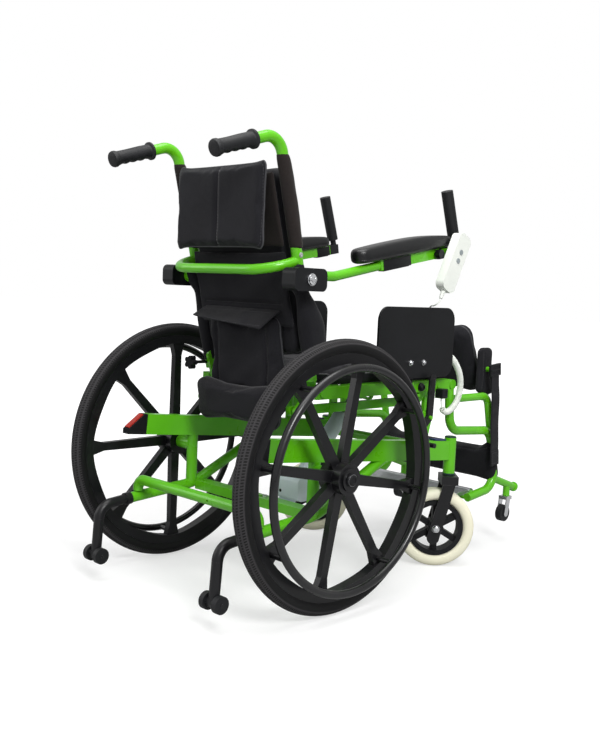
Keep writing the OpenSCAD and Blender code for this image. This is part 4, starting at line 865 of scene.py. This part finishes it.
def make_sleeve(name, side, levels, finish):
    """Cloth wrapped round a back post: rows of (z, half width, rear reach, front reach) in millimetres."""
    made = turned(name, [(i, 1.0) for i in range(len(levels))], (0, 0, 0), (0, 0, 1), 40)
    p = coords(made)
    row = np.round(p[:, 2]).astype(int)
    angle = np.arctan2(p[:, 1], p[:, 0])
    table = np.array(levels, float)[row]
    z = table[:, 0]
    axis_y = np.where(z < 790, 20 + LOW_SLOPE * (z - 506), -45 + HIGH_SLOPE * (z - 790))
    reach = np.where(np.sin(angle) > 0, table[:, 3], table[:, 2])
    wave = 1 + 0.02 * np.sin(z / 13.0 + 3 * angle) + 0.015 * np.sin(z / 7.0 - 2 * angle)
    x = side * POST_X + table[:, 1] * np.cos(angle) * np.where(table[:, 1] > 14, wave, 1)
    y = axis_y + reach * np.sin(angle) * np.where(reach > 15, wave, 1)
    set_coords(made, np.stack([x / 1000, y / 1000 - MIDDLE_Y, z / 1000], axis=1))
    outwards(made)
    subdivide(made)
    smooth(made, 1.0)
    dress(made, finish, "back")
    return made


def make_sleeves():
    for side, word in SIDES:
        high = [(798, 13.4, 13.4, 13.4)]
        high += [(z, 14.6, 14.2, 17 + 5 * math.sin((z - 800) / 64)) for z in range(804, 1000, 14)]
        make_sleeve(f"{word}_upper_post_sleeve", side, high + [(1003, 13.2, 13.2, 13.2)], MESH)
        wing = [(521, 13.2, 13.2, 13.2), (526, 14.4, 14, 16), (545, 15, 14.2, 24), (560, 16, 14.4, 36),
                (572, 17.5, 14.5, 50), (590, 19, 15, 58), (612, 20, 15, 61), (634, 19.5, 15, 60),
                (654, 17, 14.6, 56), (666, 13.6, 14, 50), (684, 13.5, 13.6, 40), (698, 13.4, 13.4, 26),
                (713, 13.4, 34.5, 17), (752, 13.4, 34.5, 15), (763, 13.4, 20, 14), (768, 13.1, 13.1, 13.1)]
        make_sleeve(f"{word}_lower_post_wing", side, wing, CLOTH)


def make_seat_cushion():
    seat = pad_blank("seat_cushion_pad", 0.388, 0.448, 0.034, 0.036, 0.012)
    stuff(seat, 0.007, 4.0, 0.010)
    rumple(seat, 0.22, 0.002, 4.0)
    seams = [[(-0.19, 0.12), (0.19, 0.12)], [(-0.19, -0.14), (0.19, -0.14)]]
    for path in seams:
        draw_in(seat, path, 0.006, 0.009)
    trims = [(sew(f"seat_stitches_{i}", seat, path, 0.008), THREAD_DARK) for i, path in enumerate(seams)]
    trims.append((pipe("seat_piping", seat, round_frame(0.400, 0.46, 0.036), 0.0023, 0.030), PIPING))
    finish_pad(seat, Matrix.Translation(spot(0, 291, 492.5)), CLOTH, "seat", "seat_cushion", trims)


def make_knee_pad():
    knee = pad_blank("knee_cushion", 0.344, 0.208, 0.040, 0.036, 0.014)
    stuff(knee, 0.006, 5.0, 0.013)
    rumple(knee, 0.14, 0.003, 6.0)
    line = [(0, -0.085), (0, 0.085)]
    draw_in(knee, line, 0.008, 0.01)
    trims = [(sew("knee_stitches", knee, line), THREAD_DARK),
             (pipe("knee_piping", knee, round_frame(0.356, 0.22, 0.036), 0.0022, 0.022), PIPING)]
    leaning = Matrix.Rotation(math.radians(KNEE_LEAN), 4, "X")
    place = Matrix.Translation(spot(0, *KNEE_MIDDLE)) @ leaning @ UPRIGHT
    finish_pad(knee, place, CLOTH, "leg_rest", "knee_pad", trims)


def make_knee_wings():
    """Padded wings of the knee pad's cover, wrapped over the side bars and flared at the lower front."""
    wing = pad_blank("right_knee_wing", 0.050, 0.128, 0.015, 0.014, 0.005)
    stuff(wing, 0.0045, 3.0, 0.004)
    p = coords(wing)
    low = np.clip(0.35 - p[:, 1] / 0.128, 0, 1)
    ahead = np.clip(p[:, 0] / 0.05 + 0.4, 0, 1)
    p[:, 0] += 0.022 * low ** 2 * ahead
    p[:, 1] -= 0.010 * low ** 2 * ahead
    p[:, 2] += 0.004 * low ** 2 * ahead
    p[:, 0] -= 0.016 * np.clip(0.2 - p[:, 0] / 0.05, 0, 1)
    set_coords(wing, p)
    rumple(wing, 0.06, 0.0016, 9.0)
    hem = [(-0.018, 0.05), (-0.018, -0.05)]
    draw_in(wing, hem, 0.0015, 0.003)
    row = sew("right_knee_wing_stitches", wing, hem)
    sideways = Matrix(((0, 0, 1), (1, 0, 0), (0, 1, 0))).to_4x4()
    place = Matrix.Translation(spot(171.9, 714, 508)) @ sideways
    for piece, name, look in ((wing, "left_knee_wing", CLOTH), (row, "left_knee_wing_stitches", THREAD_DARK)):
        put(piece, place)
        for made in (piece, copy_of(piece, name, MIRROR)):
            dress(made, look, "leg_rest")


def make_shin_pad():
    shin = pad_blank("shin_cushion", 0.408, 0.124, 0.040, 0.018, 0.012)
    stuff(shin, 0.006, 3.0, 0.006, flat=False)
    rumple(shin, 0.16, 0.002, 8.0)
    p = coords(shin)
    sag = np.clip((0.2 - np.abs(p[:, 0])) / 0.055, 0, 1)
    p[:, 1] -= 0.024 * sag ** 2 * (3 - 2 * sag) * np.clip(p[:, 1] / 0.06, 0, 1)
    set_coords(shin, p)
    line = [(-0.2, 0.045), (-0.146, 0.028), (0.146, 0.028), (0.2, 0.045)]
    draw_in(shin, line, 0.002, 0.004)
    trims = [(sew("shin_stitches", shin, line), THREAD_DARK)]
    a, b = Vector(LEG_TOP), Vector(LEG_FOOT)
    middle, run = a.lerp(b, 0.52), b - a
    turn = math.atan2(run.y, run.x) + math.radians(90)
    stand = Matrix.Translation(spot(0, middle.x, middle.y)) @ Matrix.Rotation(turn, 4, "X")
    place = stand @ UPRIGHT @ Matrix.Translation((0, 0, -0.02))
    finish_pad(shin, place, CLOTH, "leg_rest", "shin_pad", trims)


def arm_place(side):
    return Matrix.Translation(spot(side * 212, 286, 805)) @ Matrix.Rotation(math.radians(ARM_TILT), 4, "X")


def make_arm_pads():
    pad = pad_blank("right_arm_cushion", 0.054, 0.358, 0.034, 0.0255, 0.011)
    reshape(pad, "REMESH", mode="VOXEL", voxel_size=0.004)
    reshape(pad, "SMOOTH", factor=0.5, iterations=6)
    subdivide(pad)
    p = coords(pad)
    ahead = p[:, 1] / 0.18
    top = np.clip(p[:, 2] / 0.034, 0, 1)
    p[:, 2] += top * (0.005 * (1 - ahead ** 2) - 0.009 * np.clip(ahead, 0, 1) ** 2.2)
    p[:, 0] *= 1.02 - 0.10 * np.clip(-ahead, 0, 1) ** 2
    set_coords(pad, p)
    smooth(pad, 1.2)
    twin = copy_of(pad, "left_arm_cushion", Matrix.Identity(4))
    for piece, side, word in ((pad, 1, "right"), (twin, -1, "left")):
        welt = pipe(f"{word}_arm_pad_seam", piece, round_frame(0.06, 0.364, 0.03), 0.0009, 0.006)
        for made in (piece, welt):
            put(made, arm_place(side))
            dress(made, VINYL, f"{word}_arm")
        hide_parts(f"{word}_arm_pad")


def make_strap():
    run = Vector(STRAP_FOOT) - Vector(STRAP_TOP)
    turn = math.atan2(run.y, run.x)
    place = Matrix.Translation(spot(STRAP_X, *STRAP_TOP)) @ Matrix.Rotation(turn, 4, "X")
    long = run.length / 1000
    strap = flat_grid("knee_strap_webbing", 6, 60)
    p = coords(strap)
    v = p[:, 1] + 0.5
    out = 0.0016 + 0.006 * np.sin(np.pi * v) ** 2 + 0.0025 * np.sin(9 * v) * np.sin(np.pi * v)
    set_coords(strap, np.stack([out, v * long, p[:, 0] * 0.038 + 0.002 * np.sin(7 * v)], axis=1))
    thicken(strap, 0.0024, 0.0006, 1, 0.8)
    put(strap, place)
    dress(strap, WEBBING, "leg_rest")
    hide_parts("knee_strap")

    buckle = block("strap_buckle", (0.002, -0.017, -0.025), (0.0095, 0.017, 0.025))
    recess(buckle, lambda c, n: n.x > 0.9, 0.006, (-0.003, 0, 0))
    bar = round_bar("strap_buckle_bar", (0.0085, 0, -0.021), (0.0085, 0, 0.021), 0.0025, 16)
    slide = block("strap_tail", (0.006, -0.016, -0.018), (0.0075, 0.06, 0.018))
    soften(slide, 0.0005, 1)
    soften(buckle, 0.0016, 2)
    put(slide, place)
    dress(slide, WEBBING, "leg_rest")
    frame_piece = join("strap_buckle", [buckle, bar])
    smooth(frame_piece)
    put(frame_piece, place)
    dress(frame_piece, BLACK, "leg_rest")
    loop = block("strap_loop", (0.004, long - 0.044, -0.0185), (0.0066, long - 0.002, 0.0185))
    soften(loop, 0.001, 2)
    row = sew_side("strap_loop_stitches", loop)
    for piece, look in ((loop, WEBBING), (row, THREAD_DARK)):
        put(piece, place)
        dress(piece, look, "leg_rest")


def sew_side(name, loop):
    """A box of stitches on the outer side of a strap's sewn end."""
    low, high = coords(loop).min(0), coords(loop).max(0)
    stitch = block("stitch", (-0.0003, -0.0018, -0.0004), (0.0004, 0.0018, 0.0004))
    soften(stitch, 0.0002, 1)
    row = []
    for y in (low[1] + 0.006, high[1] - 0.006):
        for z in np.arange(low[2] + 0.005, high[2] - 0.004, 0.005):
            row.append(copy_of(stitch, name, Matrix.Translation((high[0], y, z)) @ UPRIGHT))
    for z in (low[2] + 0.004, high[2] - 0.004):
        for y in np.arange(low[1] + 0.008, high[1] - 0.007, 0.005):
            row.append(copy_of(stitch, name, Matrix.Translation((high[0], y, z))))
    bpy.data.objects.remove(stitch)
    return join(name, row)


THREAD = hard_finish("grey_thread", rgb(128, 126, 130), rgb(104, 102, 106), 0.75, 2600.0, 0.0001, dusty=0)
THREAD_DARK = hard_finish("dark_thread", rgb(70, 69, 73), rgb(54, 53, 57), 0.75, 2600.0, 0.0001, dusty=0)
PIPING = hard_finish("dark_piping", rgb(44, 44, 48), rgb(58, 58, 62), 0.6, 2200.0, 0.0001, dusty=0.2)

make_flap()
make_upper_skin()
make_back_rest()
make_back_skin()
make_pocket()
make_sleeves()
make_seat_cushion()
make_knee_pad()
make_knee_wings()
make_shin_pad()
make_strap()
make_arm_pads()


# Small hard pieces
def make_grips():
    """Rubber push grips: a flange, a barrel grooved for the fingers underneath, and a thick end ring."""
    corner, end = spot(POST_X, -112, 1040), spot(POST_X, -284.76, 986)
    ahead = (end - corner).normalized()
    start = end - ahead * 0.105
    barrel = [(0.010 + 0.002 * i, 0.0163 + 0.0004 * math.sin(i / 7)) for i in range(45)]
    profile = [(0, 0.019), (0.001, 0.0208), (0.005, 0.0208), (0.0065, 0.0195), (0.008, 0.0172)] + barrel
    profile += [(0.1, 0.0172), (0.102, 0.0183), (0.107, 0.0185)]
    profile += [(0.1105, 0.0172), (0.112, 0.0145), (0.1121, 0.006)]
    grip = turned("right_push_grip", profile, start, start + ahead, 40)
    p = coords(grip)
    axis, base = np.array(ahead), np.array(start)
    along = (p - base) @ axis
    out = p - base - along[:, None] * axis
    far = np.maximum(np.linalg.norm(out, axis=1, keepdims=True), 1e-6)
    under = np.array((0, 0, -1.0)) - axis * -axis[2]
    under /= np.linalg.norm(under)
    held = np.clip((out / far) @ under, 0, 1) ** 1.3
    first, final, finger_pitch, groove = 0.012, 0.098, 0.0215, 0.0019
    fingers = 0.5 - 0.5 * np.cos((along - first) / finger_pitch * 2 * math.pi)
    fingers = fingers * ((along > first) & (along < final))
    set_coords(grip, p - out / far * (groove * fingers * held)[:, None])
    smooth(grip, 0.8)
    for piece in (grip, copy_of(grip, "left_push_grip", MIRROR)):
        dress(piece, GRIP, "back")
        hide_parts("push_grips")


def bolt_head(name, base, out, radius, high, body, finish=None):
    """A round bolt head on a thin washer, with a hollow in its middle for the key."""
    lip = high * 0.3
    profile = [(0, radius), (lip, radius), (lip + 0.0002, radius * 0.86), (high * 0.75, radius * 0.82),
               (high, radius * 0.6), (high + 0.0001, radius * 0.42), (high * 0.86, radius * 0.38)]
    piece = turned(name, profile, base, Vector(base) + Vector(out), 32)
    dress(piece, finish or CHROME, body)
    return piece


def make_bolts():
    for side, word in SIDES:
        out = Vector((side, 0, 0))
        bolt_head(f"{word}_arm_bolt", spot(side * 232.4, -50, 733), out, 0.0136, 0.0078, "back")
        bolt_head(f"{word}_post_bolt", spot(side * 190.2, -43.5, 786), out, 0.006, 0.0015, "back")
        for y, place in ((314, "rear"), (366, "front")):
            base = spot(side * 228.2, y, 543)
            bolt_head(f"{word}_guard_bolt_{place}", base, out, 0.0072, 0.0064, f"{word}_guard")
        middle = spot(side * BARREL[0], BARREL[1], 0) + Vector((-0.0212, -0.0212, 0.1025))
        across = Vector((0.7071, -0.7071, 0))
        for end, place in ((1, "near"), (-1, "far")):
            base = middle + across * end * 0.0332
            body = f"{word}_caster_yoke"
            bolt_head(f"{word}_caster_bolt_{place}", base, across * end, 0.0106, 0.0075, body)
        for name, base, radius, high, body in (
            ("hub_cap", spot(side * 330.5, 0, 305), 0.0152, 0.0085, "frame"),
            ("seat_knob", spot(side * 202.8, 394, 477), 0.011, 0.010, "seat"),
        ):
            bolt_head(f"{word}_{name}", base, out, radius, high, body, BLACK)


def make_caps():
    """Caps and rings on the caster barrels, and the blue plugs lying on the rails beside them."""
    for side, word in SIDES:
        for name, z, profile in (
            ("ring", 242.7, [(0, 0.0158), (0.0006, 0.0166), (0.0044, 0.0166), (0.005, 0.0158)]),
            ("cap", 341.7, [(0, 0.0148), (0.0004, 0.0153), (0.002, 0.0153), (0.003, 0.014), (0.0034, 0.009)]),
        ):
            foot = spot(side * BARREL[0], BARREL[1], z)
            piece = turned(f"{word}_barrel_{name}", profile, foot, foot + Vector((0, 0, 1)), 40)
            dress(piece, TEAL, "frame")
        plug = block(f"{word}_rail_plug", (-0.011, -0.024, 0), (0.011, 0.024, 0.0042))
        recess(plug, lambda c, n: n.z > 0.9, 0.0025, (0, 0, -0.0012))
        soften(plug, 0.0008, 2)
        slope = Matrix.Rotation(math.radians(-5.1), 4, "X")
        put(smooth(plug), Matrix.Translation(spot(side * 218, 458, 337.4)) @ slope)
        dress(plug, BLUE, "frame")


def make_arm_covers():
    """Black covers round the arm rail, behind the green bracket and ahead of the clamp knob."""
    for side, word in SIDES:
        for y0, y1, place in ((-92, 12, "rear"), (126, 178, "front")):
            low, high = (-0.0129, y0 / 1000, -0.0262), (0.0129, y1 / 1000, -0.0006)
            cover = block(f"{word}_arm_cover_{place}", low, high)
            recess(cover, lambda c, n: n.z < -0.9, 0.004, (0, 0, -0.002))
            soften(cover, 0.0012, 2)
            put(smooth(cover), arm_place(side))
            dress(cover, BLACK, f"{word}_arm")


def make_motor_cover():
    """The upper shell of the lift motor, its seam and the dark plug in its rear face."""
    low, high = spot(-12.7, 99.3, 199), spot(72.7, 192.7, 251.9)
    cover = block("motor_upper_shell", low, high)
    pick(cover, "EDGE", lambda m, d: abs(d.x) > 0.9 * d.length and m.z > high.z - 0.001)
    bpy.ops.mesh.bevel(offset=0.0145, segments=6, affect="EDGES")
    done_editing()
    soften(cover, 0.0016, 3)
    dress(smooth(cover), SHELL, "motor")
    bolt_head("motor_plug", spot(11, 99.4, 212), (0, -1, 0), 0.0042, 0.0016, "motor", BLACK)


def make_socket_shell():
    """The black shell on the socket that the handset's cord goes into."""
    shell = block("cord_socket_shell", spot(203.2, 458.4, 447), spot(225.6, 481.6, 470.8))
    recess(shell, lambda c, n: n.x > 0.9, 0.004, (-0.0012, 0, 0))
    soften(shell, 0.0018, 3)
    dress(smooth(shell), BLACK, "seat")


make_grips()
make_bolts()
make_caps()
make_arm_covers()
make_motor_cover()
make_socket_shell()


# Stage and light
def set_stage():
    deselect()
    bpy.ops.mesh.primitive_circle_add(vertices=96, radius=30, fill_type="NGON", location=(0, 0, -0.0004))
    floor = bpy.context.object
    floor.name = "studio_floor"
    settle(floor)
    made = bpy.data.materials.new("pale_floor")
    made.use_nodes = True
    made.node_tree.nodes.clear()
    t = Tree(made.node_tree)
    lit = t.add("BsdfDiffuse")
    lit.inputs["Color"].default_value = (0.5, 0.5, 0.5, 1)
    glow = t.add("Emission")
    glow.inputs["Color"].default_value = (1, 1, 1, 1)
    seen = t.add("LightPath")
    far = t.add("VectorMath", operation="LENGTH")
    t.feed(far.inputs[0], t.add("TexCoord").outputs["Object"])
    level = t.span(far.outputs["Value"], 0.9, 2.4, 0.55, 1.0)
    t.feed(glow.inputs["Strength"], t.math("MULTIPLY", seen.outputs["Is Camera Ray"], level))
    both = t.add("AddShader")
    t.feed(both.inputs[0], lit.outputs[0])
    t.feed(both.inputs[1], glow.outputs[0])
    out = t.add("OutputMaterial")
    t.feed(out.inputs["Surface"], both.outputs[0])
    floor.data.materials.append(made)

    world = bpy.data.worlds.new("studio")
    scene.world = world
    world.use_nodes = True
    world.node_tree.nodes.clear()
    t = Tree(world.node_tree)
    seen = t.add("LightPath")
    mirrored = t.math("MULTIPLY", seen.outputs["Is Glossy Ray"], 0.4)
    shown = t.math("MAXIMUM", mirrored, seen.outputs["Is Transmission Ray"])
    shown = t.math("MAXIMUM", seen.outputs["Is Camera Ray"], shown)
    air = t.add("Background")
    air.inputs["Color"].default_value = (1, 1, 1, 1)
    t.feed(air.inputs["Strength"], t.span(shown, 0.0, 1.0, 0.36, 1.0))
    out = t.add("OutputWorld")
    t.feed(out.inputs["Surface"], air.outputs[0])

    for name, place, aim, size, power in (
        ("top_softbox", (0.3, -0.4, 3.2), (0, 0, 0.4), 2.6, 70),
        ("left_softbox", (-2.4, -2.6, 1.9), (0, 0, 0.6), 2.2, 26),
        ("right_softbox", (2.9, -1.5, 2.6), (0, 0, 0.5), 1.3, 96),
    ):
        deselect()
        bpy.ops.object.light_add(type="AREA", location=place)
        lamp = bpy.context.object
        lamp.name = name
        lamp.data.shape, lamp.data.size, lamp.data.energy = "DISK", size, power
        lamp.rotation_mode = "QUATERNION"
        lamp.rotation_quaternion = (Vector(aim) - Vector(place)).to_track_quat("-Z", "Y")
    scene.view_settings.view_transform = "Standard"


set_stage()
